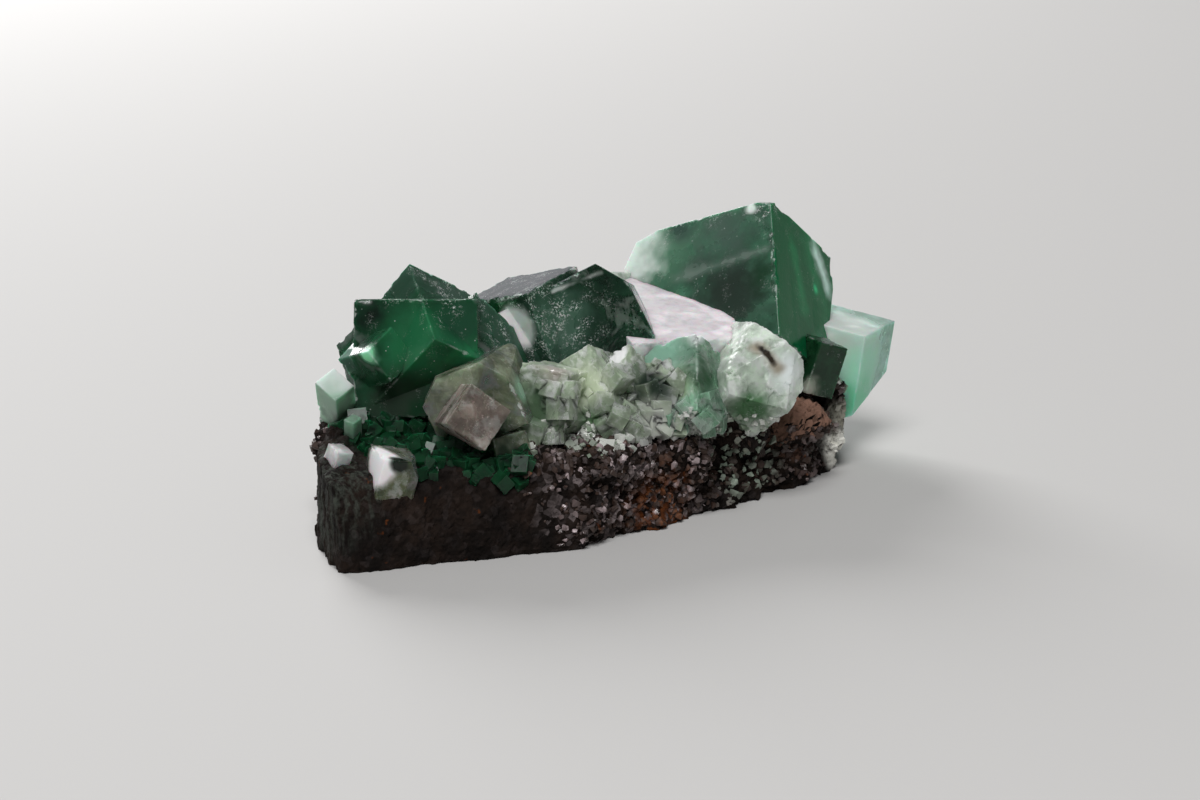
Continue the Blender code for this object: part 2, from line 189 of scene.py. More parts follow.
def cut_chip(bm, point, normal, cell):
    """Cut off everything beyond a plane, and grid the new face."""
    geom = list(bm.verts) + list(bm.edges) + list(bm.faces)
    cut = bmesh.ops.bisect_plane(
        bm, geom=geom, plane_co=point, plane_no=normal, clear_outer=True)
    rim = [e for e in cut["geom_cut"] if isinstance(e, bmesh.types.BMEdge)]
    for face in bm.faces:
        face.material_index = 0
    made = bmesh.ops.edgenet_fill(bm, edges=rim)["faces"]
    for face in made:
        face.material_index = 1
    across = normal.orthogonal().normalized()
    for direction in (across, normal.cross(across)):
        reach = [v.co.dot(direction) for f in made if f.is_valid for v in f.verts]
        low, high = min(reach), max(reach)
        for k in range(1, int((high - low) / cell)):
            cap = [f for f in bm.faces if f.material_index == 1]
            edges = {e for f in cap for e in f.edges}
            verts = {v for f in cap for v in f.verts}
            bmesh.ops.bisect_plane(
                bm, geom=cap + list(edges) + list(verts), dist=0.001,
                plane_co=direction * (low + k * cell), plane_no=direction)
        made = [f for f in bm.faces if f.material_index == 1]


def link(name, data):
    """A new object of the scene."""
    obj = bpy.data.objects.new(name, data)
    bpy.context.scene.collection.objects.link(obj)
    return obj


def to_object(name, bm):
    mesh = bpy.data.meshes.new(name)
    bm.to_mesh(mesh)
    bm.free()
    return link(name, mesh)


def apply_modifiers(obj):
    """Replace the mesh by its evaluated form."""
    evaluated = obj.evaluated_get(bpy.context.evaluated_depsgraph_get())
    mesh = bpy.data.meshes.new_from_object(evaluated)
    old = obj.data
    obj.modifiers.clear()
    obj.data = mesh
    bpy.data.meshes.remove(old)


def union(target, tool):
    modifier = target.modifiers.new("union", "BOOLEAN")
    modifier.operation = "UNION"
    modifier.solver = "EXACT"
    modifier.object = tool
    apply_modifiers(target)
    bpy.data.objects.remove(tool, do_unlink=True)


def tidy_mesh(obj):
    """Weld close points, triangulate and recount the normals."""
    bm = bmesh.new()
    bm.from_mesh(obj.data)
    bmesh.ops.remove_doubles(bm, verts=bm.verts, dist=WELD)
    bmesh.ops.triangulate(bm, faces=bm.faces)
    bmesh.ops.recalc_face_normals(bm, faces=bm.faces)
    bm.to_mesh(obj.data)
    bm.free()


def points_of(mesh):
    points = np.empty(len(mesh.vertices) * 3)
    mesh.vertices.foreach_get("co", points)
    return points.reshape(-1, 3)


def normals_of(mesh):
    normals = np.empty(len(mesh.vertices) * 3)
    mesh.vertices.foreach_get("normal", normals)
    return normals.reshape(-1, 3)


def set_points(mesh, points):
    mesh.vertices.foreach_set("co", points.ravel())
    mesh.update()


def growth_steps(block, points, rng, count, rise):
    """Thin raised and sunk rectangles on every face, parallel to the cube's edges."""
    move = np.zeros_like(points)
    local = block.local(points)
    half = block.size / 2.0
    for axis in range(3):
        a, b = [i for i in range(3) if i != axis]
        for side in (-1.0, 1.0):
            on = np.abs(local[:, axis] * side - half[axis]) < ON_FACE
            on &= (np.abs(local[:, a]) < half[a]) & (np.abs(local[:, b]) < half[b])
            u = local[on, a]
            v = local[on, b]
            height = np.zeros(len(u))
            for _ in range(count):
                cu = rng.uniform(-half[a], half[a])
                cv = rng.uniform(-half[b], half[b])
                wu = half[a] * rng.uniform(0.12, 0.8)
                wv = half[b] * rng.uniform(0.12, 0.8)
                inside = (np.abs(u - cu) < wu) & (np.abs(v - cv) < wv)
                height[inside] += rise * rng.choice((1.0, 0.6, -0.8))
            margin = np.minimum(half[a] - np.abs(u), half[b] - np.abs(v))
            height *= np.clip(margin / STEP_MARGIN, 0.0, 1.0)
            move[on] += np.outer(height, block.axes[:, axis] * side)
    return move


def edge_wear(block, points, seed, depth, reach):
    """Small chips along the edges of a block. Returns the moves and how worn each point is."""
    move = np.zeros_like(points)
    worn = np.zeros(len(points))
    local = block.local(points)
    away = block.size / 2.0 - np.abs(local)
    order = np.argsort(away, axis=1)
    rows = np.arange(len(points))
    nearest = away[rows, order[:, 0]]
    edge = away[rows, order[:, 1]]
    on = (np.abs(nearest) < NEAR_EDGE) & (edge < reach) & (edge > -0.02)
    some = points[on]
    broken = 0.9 * facets(some, 1.2, seed) + 0.9 * value_noise(some, 0.35, seed + 5)
    fade = 1.0 - np.clip(edge[on] / reach, 0.0, 1.0)
    strength = np.clip(broken - 0.12, 0.0, 1.0) * fade
    inward = np.zeros_like(some)
    for rank in range(2):
        axis = order[on, rank]
        sign = np.sign(local[on, axis])
        inward -= block.axes[:, axis].T * sign[:, None]
    move[on] = inward * (strength * depth)[:, None]
    worn[on] = np.maximum(2.0 * strength, 0.55 * fade)
    return move, worn


def crystal(name, blocks, seed, steps=9, rise=0.012, wear=0.25, reach=0.4, rough=0.0, cell=CELL):
    """A dense closed mesh of blocks grown into each other."""
    rng = random.Random(seed)
    body = to_object(name, block_mesh(blocks[0], cell))
    for block in blocks[1:]:
        union(body, to_object(name + "_tool", block_mesh(block, cell)))
    tidy_mesh(body)
    points = points_of(body.data)
    move = np.zeros_like(points)
    worn = np.zeros(len(points))
    for number, block in enumerate(blocks):
        chips, chipped = edge_wear(block, points, seed * 10 + number, wear, reach)
        move += chips + growth_steps(block, points, rng, steps, rise)
        worn = np.maximum(worn, chipped)
    if rough:
        uneven = facets(points, 1.1, seed + 40) + 0.45 * facets(points, 2.6, seed + 50)
        move += normals_of(body.data) * (rough * uneven)[:, None]
    set_points(body.data, (points + move) * MM)
    body.data.attributes.new("worn", "FLOAT", "POINT").data.foreach_set("value", worn)
    body.data.polygons.foreach_set("use_smooth", [True] * len(body.data.polygons))
    body.data.set_sharp_from_angle(angle=math.radians(CREASE))
    return body


# materials

class Nodes:
    """Short ways to add nodes to one material."""

    def __init__(self, name):
        self.material = bpy.data.materials.new(name)
        self.material.use_nodes = True
        self.tree = self.material.node_tree
        self.shader = self.tree.nodes["Principled BSDF"]
        self.output = self.tree.nodes["Material Output"]
        place = self.new("TexCoord").outputs["Object"]
        self.mm = self.vector("SCALE", place, scale=1.0 / MM)

    def link(self, a, b):
        self.tree.links.new(a, b)

    def fill(self, node, inputs):
        """Set or link inputs of a node, by name or number."""
        for key, value in inputs.items():
            if isinstance(value, bpy.types.NodeSocket):
                self.link(value, node.inputs[key])
            else:
                node.inputs[key].default_value = value

    def new(self, kind, inputs=None, **settings):
        """A new node with its settings, and its inputs set or linked."""
        node = self.tree.nodes.new("ShaderNode" + kind)
        for key, value in settings.items():
            setattr(node, key, value)
        self.fill(node, inputs or {})
        return node

    def math(self, operation, *values, clamp=False):
        inputs = dict(enumerate(values))
        return self.new("Math", inputs, operation=operation, use_clamp=clamp).outputs[0]

    def product(self, first, *others):
        for other in others:
            first = self.math("MULTIPLY", first, other)
        return first

    def blend(self, factor, a, b):
        """Mix two numbers."""
        change = self.math("SUBTRACT", b, a)
        return self.math("MULTIPLY_ADD", change, factor, a)

    def stretch(self, scale, turn=(0.0, 0.0, 0.0)):
        """Coordinates in millimetres, scaled along each axis and then turned."""
        turn = [math.radians(a) for a in turn]
        return self.new("Mapping", {"Scale": scale, "Rotation": turn, "Vector": self.mm}).outputs[0]

    def noise(self, scale, detail=4.0, roughness=0.55, distortion=0.0, where=None):
        return self.new("TexNoise", {
            "Scale": scale, "Detail": detail, "Roughness": roughness, "Distortion": distortion,
            "Vector": where or self.mm}).outputs["Fac"]

    def voronoi(self, scale, output="Distance"):
        return self.new("TexVoronoi", {"Scale": scale, "Vector": self.mm}).outputs[output]

    def ramp(self, value, low, high, out_low=0.0, out_high=1.0):
        """Smooth step of the value from low to high."""
        return self.new("MapRange", {
            "Value": value, "From Min": low, "From Max": high, "To Min": out_low,
            "To Max": out_high}, interpolation_type="SMOOTHSTEP").outputs["Result"]

    def mix(self, factor, a, b):
        """Mix two colours."""
        a, b = [(*c, 1.0) if isinstance(c, tuple) else c for c in (a, b)]
        return self.new("Mix", {"Factor": factor, "A": a, "B": b}, data_type="RGBA").outputs["Result"]

    def vector(self, operation, a, b=None, scale=None):
        given = {0: a, 1: b, "Scale": scale}
        given = {key: value for key, value in given.items() if value is not None}
        node = self.new("VectorMath", given, operation=operation)
        return node.outputs["Value" if operation in ("LENGTH", "DOT_PRODUCT") else "Vector"]

    def facing(self, direction, low, high):
        """1 where the surface faces the direction, 0 where it faces away."""
        normal = self.new("NewGeometry").outputs["Normal"]
        share = self.vector("DOT_PRODUCT", normal, Vector(direction).normalized())
        return self.ramp(share, low, high)

    def near(self, centre, radius, soft, end=None):
        """1 in a ball or along a line to an end point, in the design frame, with a soft rim."""
        offset = self.vector("SUBTRACT", self.mm, Vector(centre) + SHIFT)
        if end:
            axis = Vector(end) - Vector(centre)
            along = self.vector("DOT_PRODUCT", offset, axis.normalized())
            along = self.math("MINIMUM", self.math("MAXIMUM", along, 0.0), axis.length)
            on_line = self.vector("SCALE", axis.normalized(), scale=along)
            offset = self.vector("SUBTRACT", offset, on_line)
        wobble = self.math("MULTIPLY_ADD", self.noise(0.7, 2.0), soft * 1.6, -soft * 0.8)
        total = self.math("ADD", self.vector("LENGTH", offset), wobble)
        return self.ramp(total, radius - 0.7 * soft, radius + soft, 1.0, 0.0)

    def bump(self, height, strength, distance):
        node = self.new("Bump", {"Strength": strength, "Distance": distance, "Height": height})
        self.link(node.outputs["Normal"], self.shader.inputs["Normal"])

    def attribute(self, name):
        return self.new("Attribute", attribute_name=name).outputs["Fac"]

    def island(self):
        """A number from 0 to 1 that is the same over each loose part of the mesh."""
        return self.new("NewGeometry").outputs["Random Per Island"]

    def absorption(self, colour, density):
        node = self.new("VolumeAbsorption", {"Color": (*colour, 1.0), "Density": density})
        self.link(node.outputs[0], self.output.inputs["Volume"])


FROST = (0.78, 0.80, 0.78)
CLEAR = (0.93, 0.98, 0.95)
EMERALD = (0.06, 0.67, 0.41)
EVEN = (0.6, 0.6, 0.6)


def mark(centre, radius, soft, colour, cover, grit=False, toward=None, end=None):
    """A patch of its own colour round a point or a line, in the design frame: the crystal's colour, or
    in places painted light or shade.
    """
    return dict(centre=centre, radius=radius, soft=soft, colour=colour, cover=cover,
                grit=grit, toward=toward, end=end)


def milk_and_marks(n, grit, glow, milk, veil, cloudy, mottle, marks):
    """Colour of the milky share, and how much of it there is at each place."""
    clusters = n.product(grit, n.ramp(n.noise(1.0, 5.0, 0.7), 0.46, 0.62))
    cloud = n.ramp(n.noise(0.28, 5.0, 0.6, 0.6), 0.36, 0.66, 1.0 - cloudy, 1.0 + 0.4 * cloudy)
    along = n.stretch((1.6, 0.35, 0.35), (35.0, 20.0, 40.0))
    streak = n.ramp(n.noise(1.0, 4.0, 0.6, 0.2, along), 0.55, 0.75)
    cover = n.math("MULTIPLY", cloud, milk)
    cover = n.math("MULTIPLY_ADD", streak, veil, cover, clamp=True)
    shade = n.ramp(n.noise(0.7, 5.0, 0.65), 0.30, 0.70)
    glow = n.mix(shade, tuple(c * 0.62 for c in glow), tuple(min(c * 1.3, 0.9) for c in glow))
    if mottle:
        pale = n.product(n.ramp(n.noise(0.9, 6.0, 0.7, 0.4), 0.47, 0.60), mottle)
        glow = n.mix(pale, glow, FROST)
    for m in marks:
        share = n.near(m["centre"], m["radius"], m["soft"], m["end"])
        if m["toward"]:
            share = n.math("MULTIPLY", share, n.facing(m["toward"], 0.70, 0.90))
        if m["grit"]:
            share = n.math("MULTIPLY", share, clusters)
        glow = n.mix(share, glow, m["colour"])
        cover = n.blend(share, cover, m["cover"])
    return glow, cover


def dust_share(n, grit, dust, specks, settled, frayed):
    """How much dust, specks and frayed edges hide of the crystal."""
    patch = n.ramp(n.noise(0.5, 6.0, 0.68, 0.3), 0.53, 0.70)
    dusty = n.product(patch, grit, dust * 1.3)
    dot = n.ramp(n.voronoi(1.9), 0.04, 0.13, 1.0, 0.0)
    dot = n.product(dot, n.ramp(n.noise(0.8, 2.0), 0.45, 0.62), specks)
    edge = n.product(n.attribute("worn"), n.ramp(n.noise(0.9, 6.0, 0.75), 0.40, 0.62, 0.3, 1.4))
    edge = n.product(n.ramp(edge, 0.42, 0.85), frayed)
    dusty = n.math("MAXIMUM", dusty, n.math("MAXIMUM", dot, edge))
    if settled:
        top = n.facing((-0.10, 0.05, 1.0), 0.60, 0.85)
        top = n.product(top, n.ramp(n.noise(2.2, 5.0, 0.7), 0.30, 0.55, 0.6, 1.0), settled)
        dusty = n.math("MAXIMUM", dusty, top)
    return n.math("MINIMUM", dusty, 0.95)


def fluorite(name, glow, absorb, density, milk=0.2, dust=0.3, specks=0.3, settled=0.0,
             gloss=0.06, dust_colour=FROST, veil=0.0, frayed=0.6, cloudy=0.8, mottle=0.0,
             spread=(0.6, 1.0, 0.8), marks=()):
    """Clear to milky fluorite with its own absorption, dust, specks and frosted edges."""
    n = Nodes(name)
    grit = n.ramp(n.noise(7.0, 3.0, 0.7), 0.50, 0.64)
    glow, cover = milk_and_marks(n, grit, glow, milk, veil, cloudy, mottle, marks)
    colour = n.mix(n.ramp(cover, 0.02, 0.34), CLEAR, glow)
    dusty = dust_share(n, grit, dust, specks, settled, frayed)
    cover = n.math("MAXIMUM", cover, dusty)
    matt = n.ramp(cover, 0.84, 0.96, 0.0, 0.45)
    n.fill(n.shader, {
        "Base Color": n.mix(dusty, colour, dust_colour),
        "Transmission Weight": n.math("SUBTRACT", 1.0, cover, clamp=True),
        "Roughness": n.math("ADD", n.math("MULTIPLY_ADD", cover, 0.30, gloss), matt),
        "IOR": IOR, "Specular IOR Level": 0.35, "Subsurface Weight": 1.0,
        "Subsurface Radius": spread, "Subsurface Scale": SCATTER})
    n.bump(n.math("MULTIPLY_ADD", dusty, 0.6, n.noise(3.0, 5.0, 0.6)), 0.22, 0.00006)
    n.absorption(absorb, density)
    return n.material


# where the pale grains of the rock show, their pale colour partly their own and partly painted glints:
# centre, radius and soft rim
GLINTING = ((0.0, -13.0, 4.5), 8.0, 2.5)


def rust_share(n):
    """Where iron oxide stains the front, low and right of the middle."""
    spread = n.near((2.0, -13.2, 1.2), 2.6, 2.2)
    spots = n.ramp(n.noise(0.9, 3.0, 0.5), 0.68, 0.74)
    return n.math("MAXIMUM", n.product(spread, n.ramp(n.noise(1.2, 4.0), 0.42, 0.55)), spots)


def rock_material():
    """Dark brown rock with pale grains, rust, white ends, near-black patches and the red-brown ledge,
    whose colour on faces turned up and forward is partly painted light.
    """
    n = Nodes("matrix")
    share = n.ramp(n.noise(0.35, 5.0, 0.6), 0.35, 0.65)
    brown = n.mix(share, (0.004, 0.0025, 0.0018), (0.017, 0.010, 0.007))
    grain = n.voronoi(1.9, "Color")
    middle = n.near(*GLINTING)
    # pale grains in the middle: partly their own colour, partly painted glints
    pale = n.product(n.ramp(grain, 0.50, 0.95), n.math("MULTIPLY_ADD", middle, 0.75, 0.06))
    colour = n.mix(pale, brown, (0.22, 0.18, 0.18))
    colour = n.mix(n.product(rust_share(n), 0.85), colour, (0.10, 0.026, 0.004))
    end = n.near((-23.0, -5.0, 5.0), 4.2, 2.0)
    split = n.noise(1.0, 5.0, 0.65, 0.2, n.stretch((2.2, 2.2, 0.22)))
    colour = n.mix(n.product(end, n.ramp(split, 0.42, 0.66)), colour, (0.060, 0.068, 0.056))
    for centre, radius, tone in WHITE_ENDS:
        colour = n.mix(n.near(centre, radius, 0.6), colour, tone)
    stain = n.near((-15.2, -3.6, 7.6), 3.4, 1.0)
    colour = n.mix(stain, colour, (0.004, 0.020, 0.008))
    # near-black patches from noise, not tied to hollows in the mesh
    dark_patch = n.ramp(n.noise(1.6, 6.0, 0.7), 0.32, 0.50, 0.25, 1.0)
    colour = n.mix(dark_patch, (0.006, 0.004, 0.003), colour)
    # the ledge's pink-brown, laid only on faces turned up and forward: its own colour, and partly
    # painted light
    ledge_and_light = n.product(n.near(LEDGE, 3.2, 1.2), n.facing((-0.2, -0.4, 1.0), 0.25, 0.6))
    colour = n.mix(n.product(ledge_and_light, n.math("MULTIPLY_ADD", dark_patch, 0.45, 0.5)), colour, (0.25, 0.14, 0.10))
    gloss = n.ramp(grain, 0.2, 0.9, 0.85, 0.38)
    n.fill(n.shader, {"Base Color": colour, "Roughness": n.blend(middle, 0.85, gloss),
                      "Specular IOR Level": 0.14})
    height = n.math("MULTIPLY_ADD", n.voronoi(3.1), 0.6, n.noise(2.4, 8.0, 0.7))
    n.bump(height, 0.8, 0.0002)
    return n.material


def grain_material():
    """Grains of the rock, from near black to glinting pale ones."""
    n = Nodes("grains")
    tone = n.island()
    middle = n.near(*GLINTING)
    # pale grains in the middle: partly their own colour, partly painted glints
    pale = n.product(n.ramp(tone, 0.40, 1.0), n.math("MULTIPLY_ADD", middle, 0.75, 0.25))
    colour = n.mix(pale, (0.042, 0.021, 0.014), (0.48, 0.39, 0.40))
    colour = n.mix(n.ramp(n.noise(0.7, 4.0), 0.42, 0.64), colour, (0.030, 0.017, 0.012))
    colour = n.mix(n.product(rust_share(n), 0.75), colour, (0.17, 0.050, 0.009))
    for centre, radius, white in WHITE_ENDS:
        colour = n.mix(n.near(centre, radius, 0.6), colour, white)
    green = n.product(n.near((11.5, -10.8, 3.4), 3.2, 1.6), n.ramp(tone, 0.3, 0.7))
    colour = n.mix(green, colour, (0.30, 0.36, 0.29))
    n.fill(n.shader, {"Base Color": colour, "Roughness": n.ramp(tone, 0.2, 0.9, 0.62, 0.12)})
    n.bump(n.noise(5.0, 5.0, 0.7), 0.4, 0.0001)
    return n.material


def druse_material():
    """Fine sugary crystals, white to pale green."""
    n = Nodes("druse")
    tone = n.island()
    colour = n.mix(n.ramp(tone, 0.0, 0.6), (0.34, 0.46, 0.31), (0.84, 0.86, 0.80))
    colour = n.mix(n.near((2.0, -12.6, 7.6), 3.2, 1.5), colour, (0.90, 0.91, 0.87))
    n.fill(n.shader, {
        "Base Color": colour, "Transmission Weight": n.ramp(tone, 0.2, 1.0, 0.55, 0.15),
        "Roughness": n.ramp(tone, 0.0, 1.0, 0.30, 0.12), "IOR": IOR})
    n.bump(n.noise(5.0, 4.0, 0.6), 0.3, 0.00006)
    n.absorption((0.45, 0.85, 0.60), 250.0)
    return n.material


# the rock

LEDGE = (17.5, -9.4, 5.8)
WHITE_ENDS = [
    ((23.9, -7.4, 4.0), 1.1, (0.36, 0.35, 0.29)),
    ((22.9, -8.4, 1.6), 1.5, (0.86, 0.85, 0.78)),
]
ROCK_LEFT = -23.5
ROCK_RIGHT = 25.0
ROCK_CELLS = (120, 50, 24)
ROCK_GRAIN = 0.80
ROCK_FOOT = 0.5
ROCK_STATIONS = [
    (-23.5, -9.6, 3.6, 7.6, 9.0),
    (-18.0, -11.0, 6.6, 6.4, 9.6),
    (-12.0, -12.8, 7.8, 7.0, 9.2),
    (-6.0, -14.2, 8.4, 7.8, 9.8),
    (0.0, -13.6, 8.8, 7.4, 10.0),
    (6.0, -12.4, 9.0, 6.6, 9.8),
    (12.0, -11.6, 8.8, 5.6, 8.6),
    (18.0, -11.0, 7.6, 5.4, 7.8),
    (25.0, -8.6, 3.5, 4.2, 5.6),
]
LEFT_END = [(-10.0, -23.5), (-6.0, -22.6), (-2.5, -21.4), (1.0, -19.0), (4.0, -16.6), (7.0, -13.5)]
ROCK_LUMPS = [
    ((17.2, -8.2, 4.6), (4.6, 3.0, 1.3), (8, -9, -14)),
    ((23.6, -6.4, 4.2), (1.1, 1.3, 3.2), (4, 8, 20)),
    ((22.6, -7.4, 2.2), (1.5, 1.3, 1.7), (10, 12, 30)),
    ((24.0, -1.6, 4.2), (3.6, 4.4, 3.6), (0, 10, 10)),
    ((-1.8, -12.4, 5.6), (4.2, 2.0, 2.0), (12, 5, 8)),
    ((4.6, -11.6, 4.6), (3.0, 1.8, 2.4), (-6, 8, -10)),
    ((-15.8, 1.4, 6.6), (2.1, 2.8, 3.0), (6, 10, 24)),
    ((12.4, 7.2, 5.0), (4.6, 2.6, 3.2), (-8, 8, 15)),
    ((-7.0, 7.2, 4.6), (5.0, 2.4, 3.0), (6, -6, -8)),
    ((10.8, -9.4, 6.2), (3.4, 2.8, 2.6), (8, 6, -12)),
]


def between(stations, x):
    """Values of the stations at x, eased where a station has more than one value."""
    x = min(max(x, stations[0][0]), stations[-1][0])
    for low, high in zip(stations, stations[1:]):
        if x <= high[0]:
            t = (x - low[0]) / (high[0] - low[0])
            if len(low) > 2:
                t = t * t * (3.0 - 2.0 * t)
            return [a + (b - a) * t for a, b in zip(low[1:], high[1:])]
    return list(stations[-1][1:])


def rock_point(s, t, h):
    """A point of the plain rock form, from three shares between 0 and 1."""
    x = ROCK_LEFT + (ROCK_RIGHT - ROCK_LEFT) * s
    front, back, low_top, high_top = between(ROCK_STATIONS, x)
    y = front + (back - front) * t
    x += (between(LEFT_END, y)[0] - ROCK_LEFT) * (1.0 - s) ** 2
    x -= s ** 4 * 3.0 * (2.0 * t - 1.0) ** 2
    y += h * h * (1.6 * (1.0 - t) - 1.8 * t)
    top = low_top + (high_top - low_top) * min(1.0, t * 1.6)
    z = top * h
    rim = max(0.0, 1.0 - 6.0 * min(t, 1.0 - t, s, 1.0 - s))
    z -= h * h * rim * rim * 0.9
    return Vector((x, y, z))


def rock_swell(point, seed):
    """The same slow grain that the solid has."""
    p = point + Vector((seed, seed * 0.7, -seed))
    lumps = noise.voronoi(p * 0.55)[0][0]
    return 1.1 * (0.45 - lumps) + 0.9 * noise.noise(p * 0.22) + 0.55 * noise.noise(p * 0.9)


def rock_form():
    """The plain rock as a closed lattice."""
    nx, ny, nz = ROCK_CELLS
    bm = bmesh.new()
    grid = {}

    def vertex(i, j, k):
        key = (i, j, k)
        if key not in grid:
            grid[key] = bm.verts.new(rock_point(i / nx, j / ny, k / nz))
        return grid[key]

    back = (AROUND[0], AROUND[3], AROUND[2], AROUND[1])
    for axis, a, b, ends in ((2, 0, 1, ((nz, AROUND), (0, back))),
                             (1, 0, 2, ((0, AROUND), (ny, back))),
                             (0, 1, 2, ((0, back), (nx, AROUND)))):
        for i, j in itertools.product(range(ROCK_CELLS[a]), range(ROCK_CELLS[b])):
            for end, around in ends:
                bm.faces.new([vertex(*key) for key in cell_keys(axis, end, a, i, b, j, around)])
    bmesh.ops.recalc_face_normals(bm, faces=bm.faces)
    bm.normal_update()
    moves = []
    for v in bm.verts:
        smooth = 0.45 if v.co.x < -7.0 and v.co.y < -5.0 else 1.0
        if v.co.x < -19.0:
            smooth *= 0.35
        if v.co.x > 19.0:
            smooth *= 0.55
        moves.append((v, v.normal * rock_swell(v.co, 3.1) * ROCK_GRAIN * smooth))
    for v, move in moves:
        v.co += move
        v.co.z = max(v.co.z, ROCK_FOOT) - ROCK_FOOT
    return bm


def add_lump(bm, centre, radii, turn, seed):
    """One rounded, broken lump, joined to the mesh."""
    angles = Euler([math.radians(a) for a in turn], "XYZ").to_matrix().to_4x4()
    place = Matrix.Translation(Vector(centre)) @ angles
    made = bmesh.ops.create_icosphere(bm, subdivisions=5, radius=1.0)
    for v in made["verts"]:
        p = v.co.copy()
        p *= 0.72 + 0.28 / max(abs(p.x), abs(p.y), abs(p.z))
        p *= 1.0 + 0.16 * noise.noise(p * 1.7 + Vector((seed, 0.0, -seed)))
        p *= 1.0 - 0.14 * noise.voronoi(p * 2.1 + Vector((0.0, seed, 0.0)))[0][0]
        v.co = place @ Vector((p.x * radii[0], p.y * radii[1], p.z * radii[2]))


def build_rock():
    """The rock, remeshed as one body, with grain on it."""
    bm = rock_form()
    for number, (centre, radii, turn) in enumerate(ROCK_LUMPS):
        add_lump(bm, centre, radii, turn, 1.7 * number)
    bmesh.ops.translate(bm, vec=SHIFT, verts=bm.verts)
    rock = to_object("matrix_rock_surface", bm)
    remesh = rock.modifiers.new("remesh", "REMESH")
    remesh.mode = "VOXEL"
    remesh.voxel_size = ROCK_VOXEL
    apply_modifiers(rock)
    points = points_of(rock.data)
    normals = normals_of(rock.data)
    x = points[:, 0] - SHIFT.x
    y = points[:, 1] - SHIFT.y
    calm = np.where((x < -6.0) & (y < -4.0), 0.45, 1.0)
    calm = np.where(x < -20.0, 0.3, calm)
    height = 0.50 * facets(points, 0.75, 3) + 0.40 * facets(points, 1.6, 13)
    height += 0.24 * facets(points, 2.9, 23) + 0.5 * value_noise(points, 0.4, 5)
    cleave = value_noise(points * np.array((1.6, 1.6, 0.22)), 1.0, 31)
    height = np.where(x < -20.0, height + 1.1 * cleave, height)
    points = points + normals * (height * calm * 0.55 - 0.05)[:, None]
    points[:, 2] = np.maximum(points[:, 2], 0.0)
    set_points(rock.data, points * MM)
    return rock


def hull_templates(rng, count, corners):
    """Small irregular closed shapes of flat faces, about 1 across."""
    made = []
    for _ in range(count):
        bm = bmesh.new()
        for _ in range(corners):
            p = Vector((rng.uniform(-1, 1), rng.uniform(-1, 1), rng.uniform(-1, 1)))
            bm.verts.new(p.normalized() * rng.uniform(0.42, 0.58))
        hull = bmesh.ops.convex_hull(bm, input=bm.verts)
        spare = [g for g in hull["geom_interior"] if isinstance(g, bmesh.types.BMVert)]
        bmesh.ops.delete(bm, geom=spare, context="VERTS")
        bmesh.ops.triangulate(bm, faces=bm.faces)
        bmesh.ops.recalc_face_normals(bm, faces=bm.faces)
        bm.verts.index_update()
        made.append((np.array([v.co[:] for v in bm.verts]),
                     np.array([[v.index for v in f.verts] for f in bm.faces])))
        bm.free()
    return made


def cube_templates(rng, count):
    """Small cubes with uneven sides."""
    corners = np.array(list(itertools.product((-0.5, 0.5), repeat=3)))
    faces = np.array([[0, 1, 3], [0, 3, 2], [4, 6, 7], [4, 7, 5], [0, 4, 5], [0, 5, 1],
                      [2, 3, 7], [2, 7, 6], [0, 2, 6], [0, 6, 4], [1, 5, 7], [1, 7, 3]])
    return [(corners * np.array([rng.uniform(0.75, 1.15) for _ in range(3)]), faces)
            for _ in range(count)]


def scatter(name, templates, spots, rng, blocks=(), tilt=0.35):
    """Join one copy of a template at each spot: place, size. Near blocks it takes their turn."""
    all_points = []
    all_faces = []
    start = 0
    centres = np.array([block.centre for block in blocks])
    for place, size in spots:
        shape, faces = templates[rng.randrange(len(templates))]
        reach = tilt if blocks else math.pi
        turn = np.array(Euler([rng.uniform(-reach, reach) for _ in range(3)], "XYZ").to_matrix())
        if blocks:
            turn = turn @ blocks[np.argmin(np.linalg.norm(centres - place, axis=1))].axes
        all_points.append((shape * size) @ turn.T + np.array(place))
        all_faces.append(faces + start)
        start += len(shape)
    points = np.concatenate(all_points) * MM
    faces = np.concatenate(all_faces)
    mesh = bpy.data.meshes.new(name)
    mesh.from_pydata(points.tolist(), [], faces.tolist())
    mesh.update()
    return link(name, mesh)


def surface_spots(obj, rng, count):
    """Random points on a mesh, in millimetres."""
    mesh = obj.data
    areas = np.empty(len(mesh.polygons))
    mesh.polygons.foreach_get("area", areas)
    centres = np.empty(len(mesh.polygons) * 3)
    mesh.polygons.foreach_get("center", centres)
    picker = np.random.default_rng(rng.randrange(1 << 30))
    chosen = picker.choice(len(areas), size=count, p=areas / areas.sum())
    return centres.reshape(-1, 3)[chosen] / MM


def inside_any(points, blocks, margin):
    """True for each point inside a block made smaller by the margin."""
    found = np.zeros(len(points), dtype=bool)
    for block in blocks:
        found |= np.all(np.abs(block.local(points)) < block.size / 2.0 - margin, axis=1)
    return found


# put it together

def add(obj, material, nodes=()):
    """Give a piece its material and its place in the frame."""
    obj.data.materials.clear()
    obj.data.materials.append(material)
    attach(obj, "root")
    if nodes:
        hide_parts(*nodes)


# the look of each kind of crystal. Some marks keep to the face with one of these directions.
LARGE_LEFT = (-0.78, -0.29, 0.56)
LARGE_RIGHT = (0.53, -0.78, 0.33)
TWIN_SLOPE = (0.39, -0.54, 0.74)
# a top face with dust and a painted sheen
DUST_AND_SHEEN_TOP = (-0.25, 0.23, 0.94)
# a face with a painted highlight
GLARE_FACE = (-0.74, 0.13, 0.66)
# a top face with painted light
LIT_TOP = (-0.37, -0.53, 0.76)

